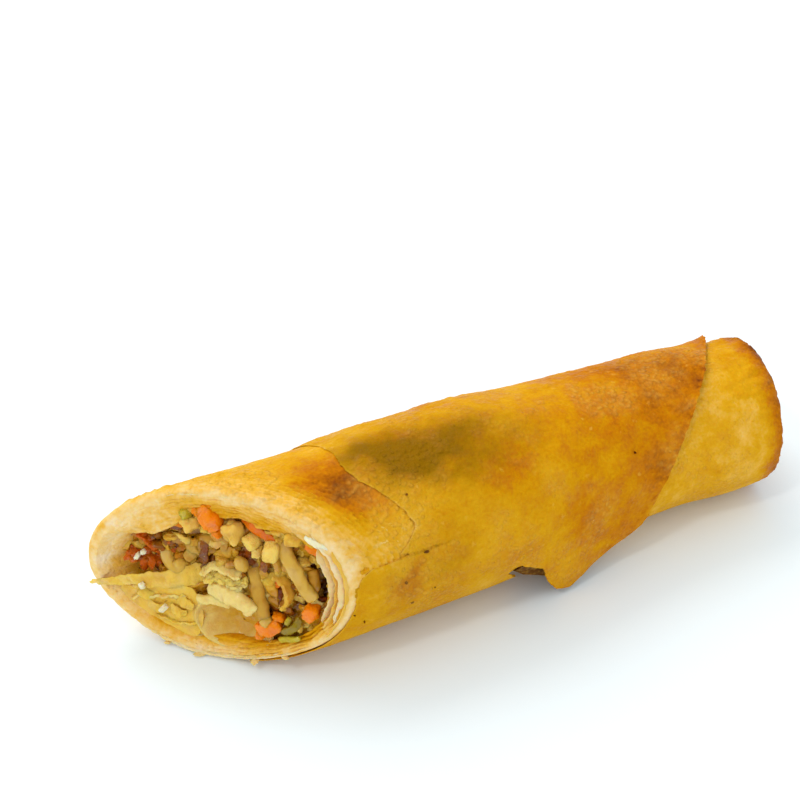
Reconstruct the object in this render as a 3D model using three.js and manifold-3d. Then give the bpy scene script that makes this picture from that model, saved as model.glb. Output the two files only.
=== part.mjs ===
// A deep-fried spring roll cut on the bias: the longer piece, with one folded end and one open cut.
// Millimetres, +Z up. The roll lies along X: the cut faces -X, the folded end is at +X.
// Angles round the roll run from +Y (0) over the top (90) to -Y (180) and the underside (270).
import * as THREE from 'three';
import { mergeVertices } from 'three/addons/utils/BufferGeometryUtils.js';
import Module from 'manifold-3d';

const wasm = await Module();
wasm.setup();

// ---- driving dimensions ----
const ROLL_LENGTH = 92.7; // cut centre to folded end, on the axis
const FAT_WIDTH = 29.6; // over the filled half
const SLIM_WIDTH = 26.0; // over the folded half
const TAPER_FROM = 34; // the roll slims between these two places along X
const TAPER_TO = 74;
const HEIGHT_TO_WIDTH = 0.963; // fried rolls settle a little flat
const BASE_SINK = 0.25; // how deep the round underside is pressed flat
const SWAY_OUT = 1.4; // sideways bend of the axis past the taper
const SWAY_BACK = 1.0;

const CUT_YAW = 45; // degrees between the cut and the roll's axis, seen from above
const CUT_LEAN = 16; // degrees by which the cut leans back at the top

const SHEET_STEP = 0.8; // drop from the last turn of pastry to the one below, filled half
const SHEET_STEP_END = 1.15; // the same where the last turn is loose, folded half
const WALL = 3.0; // all turns of pastry together
const RIM_LAYERS = 4;
const RIM_RELIEF = 0.45; // how far every other turn stands back at the cut
const RIM_WAVE = 0.3; // ragged wave along each turn
const MOUTH_BEVEL = 1.2; // the innermost turn ends this far behind the cut
const END_SKEW = 2.1; // the far side of the folded end is longer by this, the near side shorter
const END_SLIM = 0.7; // last taper just before the folded end
const END_ROUND = 2.6; // radius of the fold round the end
const END_DISH = 2.2; // hollow of the tucked-in end

const CAVITY_END = 86; // where the filling stops
const HOLLOW_STEPS = 14;
const FILLING_GAP = 0.3;
const FILLING_SET_BACK = 1.0; // filling behind the cut
const SCOOP_DEPTH = 4.5; // further set-back on the far side, where filling fell out
const LUMP = 0.8; // height of the lumps on the filling's face
const FACE_RINGS = 6;

const EDGE_UNDER = 250; // angle where the last turn ends beneath the filled half
const EDGE_CORNER_X = 51.5; // the pastry square's corner along X
const EDGE_CORNER = 236;
const EDGE_BEND_X = 66; // above here the free edge climbs straight to the far side
const EDGE_BEND = 196;
const EDGE_TOP_X = 90;
const EDGE_TOP = 48;
const EDGE_LIFT = 0.35; // the free edge curls up by this near the top

const FLAP_PLANE = -13.55; // outer face of the hanging corner, along Y
const FLAP_THICK = 0.7;

const AROUND = 52; // facets round the roll
const EDGE_WIDTH = 1.6; // degrees taken by the wall of the free edge

// middle of the finished piece, moved onto the origin
const CENTRE_X = 39.9;
const CENTRE_Y = 0.0;

const rad = THREE.MathUtils.degToRad;
const mix = THREE.MathUtils.lerp;
const smooth = THREE.MathUtils.smoothstep;

// ---- profile of the roll ----
function widthAt(x) {
  const slim = mix(FAT_WIDTH, SLIM_WIDTH, smooth(x, TAPER_FROM, TAPER_TO));
  return slim - 2 * END_SLIM * smooth(x, ROLL_LENGTH - 14, ROLL_LENGTH);
}

function swayAt(x) {
  return SWAY_OUT * smooth(x, TAPER_FROM, TAPER_TO) - SWAY_BACK * smooth(x, TAPER_TO, ROLL_LENGTH - 8);
}

function stepAt(x) {
  const step = mix(SHEET_STEP, SHEET_STEP_END, smooth(x, TAPER_FROM, TAPER_TO));
  return step * (1 - smooth(x, EDGE_TOP_X - 4, EDGE_TOP_X + 1));
}

// angle of the last turn's free edge at x
function edgeAngle(x) {
  if (x < EDGE_CORNER_X) return mix(EDGE_UNDER, EDGE_CORNER, smooth(x, TAPER_FROM, EDGE_CORNER_X));
  if (x < EDGE_BEND_X) return mix(EDGE_CORNER, EDGE_BEND, (x - EDGE_CORNER_X) / (EDGE_BEND_X - EDGE_CORNER_X));
  const climb = Math.min((x - EDGE_BEND_X) / (EDGE_TOP_X - EDGE_BEND_X), 1);
  return mix(EDGE_BEND, EDGE_TOP, climb);
}

// a point of the section at x, angle a in degrees, pressed in by inset
function sectionPoint(x, a, inset) {
  const halfWidth = widthAt(x) / 2 - inset;
  const halfHeight = (widthAt(x) * HEIGHT_TO_WIDTH) / 2 + BASE_SINK / 2 - 0.75 * inset;
  const y = swayAt(x) + halfWidth * Math.cos(rad(a));
  const z = halfHeight * (1 + Math.sin(rad(a))) - BASE_SINK;
  return new THREE.Vector3(x, y, Math.max(z, 0));
}

// a point of the hollow's section: the same oval, pressed in by inset on every side
function hollowPoint(x, a, inset) {
  const halfWidth = widthAt(x) / 2 - inset;
  const middle = (widthAt(x) * HEIGHT_TO_WIDTH) / 2;
  const y = swayAt(x) + halfWidth * Math.cos(rad(a));
  return new THREE.Vector3(x, y, middle + (middle - inset) * Math.sin(rad(a)));
}

// inset of the outer surface: a spiral that drops by one turn at the free edge
function spiralInset(x, turn) {
  const climb = x > EDGE_BEND_X ? EDGE_LIFT * smooth(turn, 0.9, 1) : 0;
  const lift = climb * (1 - smooth(x, EDGE_TOP_X - 6, EDGE_TOP_X));
  return stepAt(x) * (1 - turn) - lift;
}

// angles of one ring, counted from the free edge; the far side of the ring stays put
function ringAngles(x) {
  const edge = edgeAngle(x);
  const shift = edge - EDGE_UNDER;
  const angles = [];
  for (let k = 0; k < AROUND; k += 1) {
    const turn = k / (AROUND - 1);
    const span = 360 - EDGE_WIDTH;
    angles.push({ turn, angle: edge + turn * span - shift * 0.5 * (1 - Math.cos(2 * Math.PI * turn)) });
  }
  return angles;
}

// the bias cut: how far along X the cut lies at a point of the section
function cutAt(y, z) {
  const middle = (FAT_WIDTH * HEIGHT_TO_WIDTH) / 2;
  return -y / Math.tan(rad(CUT_YAW)) + (z - middle) * Math.tan(rad(CUT_LEAN));
}

// ---- mesh helpers ----
// closes a stack of rings into one body, with a fan over the first and the last ring
function closeRings(rings) {
  const count = rings[0].length;
  const positions = rings.flat().flatMap((p) => [p.x, p.y, p.z]);
  const index = [];
  for (let r = 0; r + 1 < rings.length; r += 1) {
    for (let k = 0; k < count; k += 1) {
      const a = r * count + k;
      const b = r * count + ((k + 1) % count);
      index.push(a, b, a + count, b, b + count, a + count);
    }
  }
  const caps = [rings[0], rings[rings.length - 1]];
  caps.forEach((ring, side) => {
    const middle = ring.reduce((sum, p) => sum.add(p), new THREE.Vector3()).divideScalar(count);
    const hub = positions.length / 3;
    const first = side === 0 ? 0 : (rings.length - 1) * count;
    positions.push(middle.x, middle.y, middle.z);
    for (let k = 0; k < count; k += 1) {
      const a = first + k;
      const b = first + ((k + 1) % count);
      if (side === 0) index.push(hub, b, a);
      else index.push(hub, a, b);
    }
  });
  const geometry = new THREE.BufferGeometry();
  geometry.setAttribute('position', new THREE.Float32BufferAttribute(positions, 3));
  geometry.setIndex(index);
  return geometry;
}

function toManifold(geometry) {
  const bare = geometry.clone();
  bare.deleteAttribute('normal');
  bare.deleteAttribute('uv');
  const merged = mergeVertices(bare, 1e-4);
  return new wasm.Manifold(
    new wasm.Mesh({
      numProp: 3,
      vertProperties: new Float32Array(merged.attributes.position.array),
      triVerts: new Uint32Array(merged.index.array),
    }),
  );
}

function toGeometry(manifold) {
  const mesh = manifold.getMesh();
  const geometry = new THREE.BufferGeometry();
  geometry.setAttribute('position', new THREE.BufferAttribute(mesh.vertProperties, 3));
  geometry.setIndex(new THREE.BufferAttribute(mesh.triVerts, 1));
  return geometry;
}

// ---- pastry ----
// rings from the cut to the start of the end fold; near the cut they follow the bias
function outerRings(extraInset, turns) {
  const rings = [];
  const bodyEnd = ROLL_LENGTH - END_ROUND;
  for (let s = 0; s <= turns; s += 1) {
    const x = mix(0, bodyEnd, s / turns);
    const bias = 1 - smooth(x, 0, bodyEnd * 0.42);
    const skew = END_SKEW * smooth(x, bodyEnd - 25, bodyEnd);
    const ring = ringAngles(x).map(({ turn, angle }) => {
      const inset = spiralInset(x, turn) + extraInset;
      const flat = sectionPoint(x, angle, inset);
      const along = x + cutAt(flat.y, flat.z) * bias + skew * Math.cos(rad(angle));
      const placed = sectionPoint(along, angle, inset);
      return placed;
    });
    rings.push(ring);
  }
  return rings;
}

// the fold round the end and the dished, tucked-in middle
function endRings() {
  const steps = [
    [0.5, 0.22],
    [0.86, 0.55],
    [1.0, 1.1],
    [0.93, 2.4],
    [0.55, 4.6],
    [0.15, 7.6],
  ];
  return steps.map(([reach, pull]) => {
    const x = ROLL_LENGTH - END_ROUND + END_ROUND * reach;
    const dish = pull > 1.1 ? END_DISH * 0.5 * (1 - reach) : 0;
    return ringAngles(ROLL_LENGTH).map(({ turn, angle }) => {
      const p = sectionPoint(ROLL_LENGTH, angle, spiralInset(ROLL_LENGTH, turn) + pull);
      const rise = p.z + pull * 0.25 * (1 - Math.sin(rad(angle)));
      return new THREE.Vector3(x - dish + END_SKEW * Math.cos(rad(angle)) * (1 - pull / 12), p.y, rise);
    });
  });
}

// the cut rim, turn by turn from the hollow outwards; single turns stand in or out a little
function rimRings() {
  const rings = [];
  for (let layer = RIM_LAYERS; layer >= 1; layer -= 1) {
    const inset = (WALL * layer) / RIM_LAYERS;
    const ring = ringAngles(0).map(({ turn, angle }) => {
      const spiral = SHEET_STEP * (1 - turn) * (1 - layer / RIM_LAYERS);
      const p = hollowPoint(0, angle, inset + spiral);
      const ragged = RIM_RELIEF * (layer % 2) + RIM_WAVE * Math.sin(rad(angle * 3 + 70 * layer));
      return hollowPoint(cutAt(p.y, p.z) + ragged, angle, inset + spiral);
    });
    rings.push(ring);
  }
  return rings;
}

// rings of the hollow from its closed end to the cut
function hollowRings(inset, frontShift) {
  const rings = [];
  for (let s = HOLLOW_STEPS; s >= 0; s -= 1) {
    const x = mix(0, CAVITY_END - inset, s / HOLLOW_STEPS);
    const bias = 1 - smooth(x, 0, CAVITY_END * 0.5);
    const close = 1 - 0.5 * smooth(s / HOLLOW_STEPS, 0.85, 1);
    const ring = ringAngles(0).map(({ angle }) => {
      const flat = hollowPoint(x, angle, WALL + inset);
      const along = x + (cutAt(flat.y, flat.z) + frontShift) * bias;
      const p = hollowPoint(along, angle, WALL + inset);
      const middle = (widthAt(along) * HEIGHT_TO_WIDTH) / 2;
      p.y = swayAt(along) + (p.y - swayAt(along)) * close;
      p.z = middle + (p.z - middle) * close;
      return p;
    });
    rings.push(ring);
  }
  return rings;
}

function pastryBody() {
  const hollow = hollowRings(0, MOUTH_BEVEL);
  return closeRings([...hollow, ...rimRings(), ...outerRings(0, 40), ...endRings()]);
}

// outline of the hanging corner of the last turn, in X and Z
function cornerShape() {
  const shape = new THREE.Shape();
  shape.moveTo(42.4, 13.2);
  shape.lineTo(45.0, 9.8);
  shape.lineTo(48.2, 6.2);
  shape.lineTo(48.5, 4.4);
  shape.lineTo(50.2, 2.3);
  shape.lineTo(EDGE_CORNER_X, 1.6);
  shape.quadraticCurveTo(60, 4.6, EDGE_BEND_X + 0.3, 8.6);
  shape.lineTo(EDGE_BEND_X + 0.8, 12.5);
  return shape;
}

// the corner hangs straight down from the widest line of the roll
function hangingCorner() {
  const plate = new THREE.ExtrudeGeometry(cornerShape(), {
    depth: FLAP_THICK,
    bevelEnabled: false,
    curveSegments: 8,
  });
  plate.rotateX(Math.PI / 2);
  plate.translate(0, FLAP_PLANE + FLAP_THICK, 0);
  // the plate follows the roll as it slims and sways
  const position = plate.attributes.position;
  const widest = (x) => swayAt(x) - widthAt(x) / 2;
  for (let i = 0; i < position.count; i += 1) {
    const x = position.getX(i);
    position.setY(i, position.getY(i) + widest(x) - widest(50));
  }
  return plate;
}

// the tear beside the hanging corner, down to the turn below
function tearCutter() {
  const shape = new THREE.Shape();
  shape.moveTo(40.4, 11.4);
  shape.lineTo(41.6, 12.3);
  shape.lineTo(43.0, 12.1);
  shape.lineTo(45.0, 9.8);
  shape.lineTo(48.3, 5.4);
  shape.lineTo(49.5, 0.6);
  shape.lineTo(43.2, 0.6);
  shape.lineTo(41.4, 6.0);
  const prism = new THREE.ExtrudeGeometry(shape, { depth: 9, bevelEnabled: false });
  prism.rotateX(Math.PI / 2);
  prism.translate(0, -9, 0);
  return prism;
}

function pastryWrapper() {
  const body = toManifold(pastryBody());
  const kept = toManifold(closeRings(outerRings(SHEET_STEP_END, 26)));
  const torn = body.subtract(toManifold(tearCutter()).subtract(kept));
  return toGeometry(torn.add(toManifold(hangingCorner())));
}

// ---- filling ----
// a lumpy mass along the whole hollow, with an uneven face behind the cut
function fillingBody() {
  const rings = hollowRings(FILLING_GAP, FILLING_SET_BACK + MOUTH_BEVEL);
  const halfFace = FAT_WIDTH / 2 - WALL - FILLING_GAP;
  for (let f = 1; f <= FACE_RINGS; f += 1) {
    const pull = (halfFace * f) / (FACE_RINGS + 0.6);
    const ring = ringAngles(0).map(({ angle }) => {
      const p = hollowPoint(0, angle, WALL + FILLING_GAP + pull);
      const lumps = LUMP * Math.sin(p.y * 1.15 + 0.6) * Math.cos(p.z * 0.95 - 0.4);
      const scoop = SCOOP_DEPTH * smooth(p.y, 2.5, 9) * smooth(f, 0, 2);
      p.x = cutAt(p.y, p.z) + FILLING_SET_BACK + MOUTH_BEVEL + lumps + scoop;
      return p;
    });
    rings.push(ring);
  }
  return closeRings(rings.reverse());
}

// ---- scene graph ----
function finish(name, geometry, color, roughness) {
  const material = new THREE.MeshStandardMaterial({ color, roughness, metalness: 0 });
  const mesh = new THREE.Mesh(geometry, material);
  mesh.name = name;
  return mesh;
}

const springRoll = new THREE.Group();
springRoll.add(finish('pastry_wrapper', pastryWrapper(), 0xc98a2b, 0.45));
springRoll.add(finish('filling', fillingBody(), 0xc9b26a, 0.5));
springRoll.position.set(-CENTRE_X, -CENTRE_Y, 0);

export default springRoll;
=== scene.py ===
"""A deep-fried spring roll cut on the bias: crisp pastry round a vegetable and noodle filling.

The roll lies along X. Its cut faces -X and its folded end is at +X. Shapes are worked out in
millimetres from a few driving sizes and become metres in the frame's axes when a mesh is made.
Angles round the roll run from +Y (0) over the top (90) to -Y (180) and the underside (270).
"""

import logging
import math
from dataclasses import dataclass, field
from enum import Enum
from itertools import product

import bpy
import numpy as np
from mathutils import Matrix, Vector


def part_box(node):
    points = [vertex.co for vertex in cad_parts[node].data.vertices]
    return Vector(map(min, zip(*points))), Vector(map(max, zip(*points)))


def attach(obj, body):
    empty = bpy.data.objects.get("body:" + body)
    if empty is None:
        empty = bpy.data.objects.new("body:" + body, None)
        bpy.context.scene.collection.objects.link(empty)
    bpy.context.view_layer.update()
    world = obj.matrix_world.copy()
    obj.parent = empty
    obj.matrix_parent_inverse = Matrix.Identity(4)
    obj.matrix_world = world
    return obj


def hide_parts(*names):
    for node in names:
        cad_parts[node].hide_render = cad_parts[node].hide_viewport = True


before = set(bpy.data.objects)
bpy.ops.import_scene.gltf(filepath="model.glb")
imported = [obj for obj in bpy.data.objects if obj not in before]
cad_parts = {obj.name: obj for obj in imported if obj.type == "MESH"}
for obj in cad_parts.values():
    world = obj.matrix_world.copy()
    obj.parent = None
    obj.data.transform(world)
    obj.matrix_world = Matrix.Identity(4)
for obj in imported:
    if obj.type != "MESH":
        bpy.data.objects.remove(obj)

log = logging.getLogger("spring_roll")

MM = 0.001
Colour = tuple[float, float, float]
Place = tuple[float, float, float]
Array = np.ndarray
Faces = list[tuple[int, ...]]
Socket = bpy.types.NodeSocket

# Millimetres that the noise moves on for each degree round the roll.
ARC = 0.25


# ---------------------------------------------------------------- small maths
def smooth(x: Array | float, low: float, high: float) -> Array:
    """Ease from 0 at low to 1 at high.

    Args:
        x: where to look.
        low: where the rise starts.
        high: where the rise ends.

    Returns:
        The eased share, between 0 and 1.
    """
    t = np.clip((np.asarray(x, float) - low) / (high - low), 0.0, 1.0)
    return t * t * (3.0 - 2.0 * t)


def mix(a: Array | float, b: Array | float, t: Array | float) -> Array:
    """Blend a into b by the share t."""
    return a + (b - a) * t


def bump(x: Array, centre: float, half: float) -> Array:
    """A soft hill of height 1 at centre that ends half away on either side."""
    return 1.0 - smooth(np.abs(np.asarray(x, float) - centre), 0.0, half)


def bump_round(angle: Array, centre: float, half: float) -> Array:
    """A soft hill round the roll, in degrees, that meets itself after a full turn."""
    return bump((np.asarray(angle) - centre + 180) % 360, 180, half)


def along(outline: list[tuple[float, float]], angle: Array, **ends: float) -> Array:
    """Read an outline of (angle, value) points at each angle.

    Args:
        outline: its points, in order of angle.
        angle: where to read it, in degrees.
        **ends: the value beyond an end, if it isn't the last point's.

    Returns:
        One value for each angle.
    """
    at, value = np.array(outline).T
    return np.interp(angle, at, value, **ends)


def places(a: Array | float, b: Array | float = 0.0, c: Array | float = 0.0) -> Array:
    """Three coordinates spread to one shape and stacked, as places for the noise."""
    return np.stack(np.broadcast_arrays(a, b, c), -1)


class Relief:
    """Seeded smooth noise over points in millimetres."""

    def __init__(self, seed: int) -> None:
        """Draw the lattice of slopes.

        Args:
            seed: picks the pattern.
        """
        rng = np.random.default_rng(seed)
        slopes = rng.normal(size=(256, 3))
        self.slopes = slopes / np.linalg.norm(slopes, axis=1, keepdims=True)
        self.order = rng.permutation(256)
        self.spots = rng.random((256, 3))

    def corner(self, cell: Array) -> Array:
        """Lattice entry that belongs to each whole-number cell."""
        o = self.order
        return o[(o[(o[cell[..., 0] % 256] + cell[..., 1]) % 256] + cell[..., 2]) % 256]

    def soft(self, points: Array, size: float) -> Array:
        """Gradient noise, from about -1 to 1.

        Args:
            points: places, in millimetres, last axis of 3.
            size: width of one swell, in millimetres.

        Returns:
            One value for each point.
        """
        p = np.asarray(points, float) / size
        base = np.floor(p).astype(int)
        f = p - base
        w = f * f * f * (f * (f * 6 - 15) + 10)
        total = np.zeros(p.shape[:-1])
        for step in product((0, 1), repeat=3):
            c = np.array(step)
            slope = self.slopes[self.corner(base + c)]
            weight = np.prod(np.where(c == 1, w, 1 - w), axis=-1)
            total += weight * ((f - c) * slope).sum(-1)
        return total * 1.6

    def rough(self, points: Array, size: float, octaves: int = 3) -> Array:
        """Several sizes of soft noise added up, from about -1 to 1.

        Args:
            points: places, in millimetres, last axis of 3.
            size: width of the widest swell, in millimetres.
            octaves: how many sizes there are, each half the one before.

        Returns:
            One value for each point.
        """
        share = [0.55**k for k in range(octaves)]
        layers = [s * self.soft(points, size / 2**k) for k, s in enumerate(share)]
        return np.sum(layers, axis=0) / sum(share) * 1.5

    def blisters(self, points: Array, size: float) -> Array:
        """Round domes at scattered spots, 1 at each dome's middle and 0 between them.

        Args:
            points: places, in millimetres, last axis of 3.
            size: how far apart the domes are, in millimetres.

        Returns:
            One value for each point.
        """
        p = np.asarray(points, float) / size
        base = np.floor(p).astype(int)
        nearest = np.full(p.shape[:-1], 9.0)
        for step in product((-1, 0, 1), repeat=3):
            cell = base + np.array(step)
            spot = cell + self.spots[self.corner(cell)]
            nearest = np.minimum(nearest, ((p - spot) ** 2).sum(-1))
        return np.clip(1.0 - nearest * 3.2, 0.0, 1.0)


def through(points: list[tuple[float, ...]], samples: int) -> Array:
    """A smooth curve through a few given points.

    Args:
        points: the places that the curve passes.
        samples: how many places to return.

    Returns:
        Places evenly spread over the curve's spans.
    """
    p = np.array(points, float)
    p = np.vstack([2 * p[0] - p[1], p, 2 * p[-1] - p[-2]])
    u = np.linspace(0, len(points) - 1, samples)
    k = np.minimum(u.astype(int), len(points) - 2)
    t = (u - k)[:, None]
    a, b, c, d = p[k], p[k + 1], p[k + 2], p[k + 3]
    slope, bend, twist = c - a, 2 * a - 5 * b + 4 * c - d, 3 * b - a - 3 * c + d
    return 0.5 * (2 * b + slope * t + bend * t**2 + twist * t**3)


# ---------------------------------------------------------------- the roll's form
@dataclass(frozen=True)
class RollForm:
    """Driving sizes of the roll in millimetres, and the surfaces that follow from them."""

    length: float = 92.7
    fat_width: float = 29.6
    slim_width: float = 26.0
    taper_from: float = 34.0
    taper_to: float = 74.0
    squat: float = 0.963
    sink: float = 0.25
    sway_out: float = 1.4
    sway_back: float = 1.0
    end_slim: float = 0.7
    end_skew: float = 2.1
    end_round: float = 2.6
    end_overhang: float = 0.9
    edge_skew: float = 0.9
    slant_reach: float = 40.0
    cut_yaw: float = 45.0
    cut_lean: float = 16.0
    lumpiness: float = 0.3
    lump_size: float = 17.0
    relief: Relief = field(default_factory=lambda: Relief(11))

    @property
    def middle(self) -> float:
        """Height of the cut's middle above the base."""
        return self.fat_width * self.squat / 2

    @property
    def folded_end(self) -> float:
        """Place along X of the folded end's rim."""
        return self.length + self.end_overhang

    def slant_left(self, x: Array | float) -> Array:
        """Share of the cut's slant that a section this far behind the cut still has."""
        return 1 - smooth(x, 0, self.slant_reach)

    def width(self, x: Array) -> Array:
        """Width of the roll at x."""
        slim = mix(self.fat_width, self.slim_width, smooth(x, self.taper_from, self.taper_to))
        return slim - 2 * self.end_slim * smooth(x, self.length - 14, self.length)

    def sway(self, x: Array) -> Array:
        """Sideways place of the roll's axis at x."""
        out = self.sway_out * smooth(x, self.taper_from, self.taper_to)
        return out - self.sway_back * smooth(x, self.taper_to, self.length - 8)

    def cut(self, y: Array, z: Array) -> Array:
        """How far along X the bias cut lies at a point of the section."""
        lean = (z - self.middle) * math.tan(math.radians(self.cut_lean))
        return lean - y / math.tan(math.radians(self.cut_yaw))

    def surface(
        self, x: Array, angle: Array, inset: Array | float = 0.0, lift: Array | float = 0.0
    ) -> Array:
        """Points of one turn of pastry.

        Args:
            x: places along the roll.
            angle: angles round it, in degrees.
            inset: how deep the turn lies under the outermost one.
            lift: 1 raises the turn's underside by the inset, 0 rests it on the base.

        Returns:
            Points, last axis of 3.
        """
        x, angle, inset, lift = np.broadcast_arrays(x, angle, inset, lift)
        c, s = np.cos(np.radians(angle)), np.sin(np.radians(angle))
        width = self.width(x)
        half_height = (width * self.squat + self.sink) / 2 - inset * (0.75 + 0.25 * lift)
        y = self.sway(x) + (width / 2 - inset) * c
        z = lift * inset + half_height * (1 + s) - self.sink
        swell = self.lumpiness * self.relief.soft(np.stack([x, y, z], -1), self.lump_size)
        swell = swell * (1 - smooth(-s, 0.2, 0.8))
        return np.stack([x, y + swell * c, np.maximum(z + swell * s, 0.0)], -1)

    def rim(self, angle: Array, inset: Array | float = 0.0) -> Array:
        """Place along X where the cut meets a turn of pastry."""
        p = self.surface(np.zeros_like(np.asarray(angle, float)), angle, inset, 1.0)
        return self.cut(p[..., 1], p[..., 2])

    def face(self, across: Array, up: Array, depth: Array) -> Array:
        """Points given on the cut's own plane.

        Args:
            across: distance from the cut's middle towards the short, near side.
            up: distance above the middle, along the plane.
            depth: distance behind the plane, into the roll.

        Returns:
            Points, last axis of 3.
        """
        across, up, depth = np.broadcast_arrays(across, up, depth)
        side = np.array([1.0, -1.0, 0.0]) / math.sqrt(2)
        normal = np.array([1.0, 1.0, -math.tan(math.radians(self.cut_lean))])
        normal /= np.linalg.norm(normal)
        rise = np.cross(side, normal)
        rise *= math.copysign(1.0, rise[2])
        origin = np.array([0.0, 0.0, self.middle])
        return origin + across[..., None] * side + up[..., None] * rise + depth[..., None] * normal


FORM = RollForm()


# ---------------------------------------------------------------- meshes
@dataclass
class Mass:
    """Vertices in millimetres with faces and painted values, ready to become one mesh."""

    points: Array = field(default_factory=lambda: np.zeros((0, 3)))
    faces: Faces = field(default_factory=list)
    paint: dict[str, Array] = field(default_factory=dict)

    def add(self, points: Array, faces: Faces, **paint: Array | float) -> None:
        """Append one closed shape.

        Args:
            points: its vertices.
            faces: its faces, counted from its own first vertex.
            **paint: a value for each vertex, or one for all, under each name.
        """
        start = len(self.points)
        self.points = np.vstack([self.points, points])
        self.faces.extend(tuple(i + start for i in f) for f in faces)
        for name, value in paint.items():
            values = np.broadcast_to(np.asarray(value, float), (len(points),))
            held = self.paint.get(name, np.zeros(start))
            self.paint[name] = np.concatenate([held, values])


class Workshop:
    """Turns masses into Blender pieces that ride on the part's one body."""

    def __init__(self) -> None:
        """Find where the roll's own zero lies in the frame."""
        box_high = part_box("pastry_wrapper")[1]
        end_reach = FORM.length + FORM.end_skew * FORM.edge_skew
        self.shift = np.array([box_high.x / MM - end_reach, 0.0, 0.0])

    def to_frame(self, points: Array) -> Array:
        """Millimetres of the roll to metres of the frame."""
        return (points + self.shift) * MM

    def make(
        self, name: str, mass: Mass, material: bpy.types.Material, slot: str, crease: float = 55.0
    ) -> bpy.types.Object:
        """Make one piece.

        Args:
            name: the piece's name.
            mass: its shape.
            material: its finish.
            slot: the record's material slot; not used.
            crease: edges sharper than this many degrees stay sharp.

        Returns:
            The new object, riding on the root body.
        """
        mesh = bpy.data.meshes.new(name)
        mesh.from_pydata(self.to_frame(mass.points).tolist(), [], mass.faces)
        mesh.validate()
        mesh.shade_smooth()
        mesh.set_sharp_from_angle(angle=math.radians(crease))
        for key, values in mass.paint.items():
            layer = mesh.attributes.new(key, "FLOAT", "POINT")
            layer.data.foreach_set("value", values.astype(np.float32))
        mesh.materials.append(material)
        piece = bpy.data.objects.new(name, mesh)
        bpy.context.scene.collection.objects.link(piece)
        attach(piece, "root")
        log.info("%s: %d vertices", name, len(mesh.vertices))
        return piece


@dataclass(frozen=True)
class Spot:
    """A soft oval patch of colour on the roll's side."""

    x: float
    angle: float
    along: float
    round: float
    amount: float

    def share(self, x: Array, angle: Array) -> Array:
        """How much the patch adds at each place."""
        away = ((x - self.x) / self.along) ** 2 + ((angle - self.angle) / self.round) ** 2
        return self.amount * np.exp(-away)


def grid_normals(points: Array, wrap: bool) -> Array:
    """Outward directions of a grid of points.

    Args:
        points: rows of points, shape (rows, columns, 3).
        wrap: whether the last row meets the first.

    Returns:
        Unit vectors, same shape.
    """
    if wrap:
        along = np.roll(points, -1, 0) - np.roll(points, 1, 0)
    else:
        along = np.gradient(points, axis=0)
    across = np.gradient(points, axis=1)
    n = np.cross(across, along)
    return n / np.maximum(np.linalg.norm(n, axis=-1, keepdims=True), 1e-9)


def thick_sheet(
    points: Array, keep: Array, thickness: Array | float, wrap: bool = False, flip: bool = False
) -> tuple[Array, Faces, Array]:
    """A closed sheet of pastry under a grid of points.

    Args:
        points: the upper face, shape (rows, columns, 3).
        keep: which grid cells exist, shape (cells along rows, cells along columns).
        thickness: how thick it is, one number or one for each point.
        wrap: whether the last row meets the first.
        flip: whether the grid's own outward direction points inwards.

    Returns:
        Vertices, faces, and for each vertex the grid point that it came from.
    """
    rows, cols = points.shape[:2]
    n = grid_normals(points, wrap) * (-1.0 if flip else 1.0)
    depth = np.broadcast_to(np.asarray(thickness, float), (rows, cols))[..., None]
    lower = points - n * depth
    lower[..., 2] = np.maximum(lower[..., 2], 0.02)
    both = np.concatenate([points.reshape(-1, 3), lower.reshape(-1, 3)])
    r, c = np.nonzero(keep)
    r2 = (r + 1) % rows
    a, b, d, e = r * cols + c, r * cols + c + 1, r2 * cols + c, r2 * cols + c + 1
    top = np.stack([a, b, e, d], 1) if not flip else np.stack([a, d, e, b], 1)
    total = rows * cols
    under = top[:, ::-1] + total
    edges = np.concatenate([top[:, [k, (k + 1) % 4]] for k in range(4)])
    key = edges[:, 0].astype(np.int64) * total + edges[:, 1]
    back = edges[:, 1].astype(np.int64) * total + edges[:, 0]
    rim = edges[~np.isin(key, back)]
    wall = np.stack([rim[:, 1], rim[:, 0], rim[:, 0] + total, rim[:, 1] + total], 1)
    faces = np.concatenate([top, under, wall])
    used, inverse = np.unique(faces, return_inverse=True)
    faces = inverse.reshape(-1, 4)
    return both[used], [tuple(f) for f in faces.tolist()], used % total


def closed_rings(rings: Array) -> tuple[Array, Faces]:
    """A closed body from a stack of rings, with a fan over the first and the last.

    Args:
        rings: shape (rings, points round, 3), counter-clockwise seen from the last ring's side.

    Returns:
        Vertices and faces.
    """
    count, around = rings.shape[:2]
    points = np.concatenate([rings.reshape(-1, 3), rings[[0, -1]].mean(1)])
    faces: Faces = []
    for r in range(count - 1):
        for k in range(around):
            a, b = r * around + k, r * around + (k + 1) % around
            faces.append((a, b, b + around, a + around))
    first, last = count * around, count * around + 1
    for k in range(around):
        nxt = (k + 1) % around
        faces.append((first, nxt, k))
        faces.append((last, (count - 1) * around + k, (count - 1) * around + nxt))
    return points, faces


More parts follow.
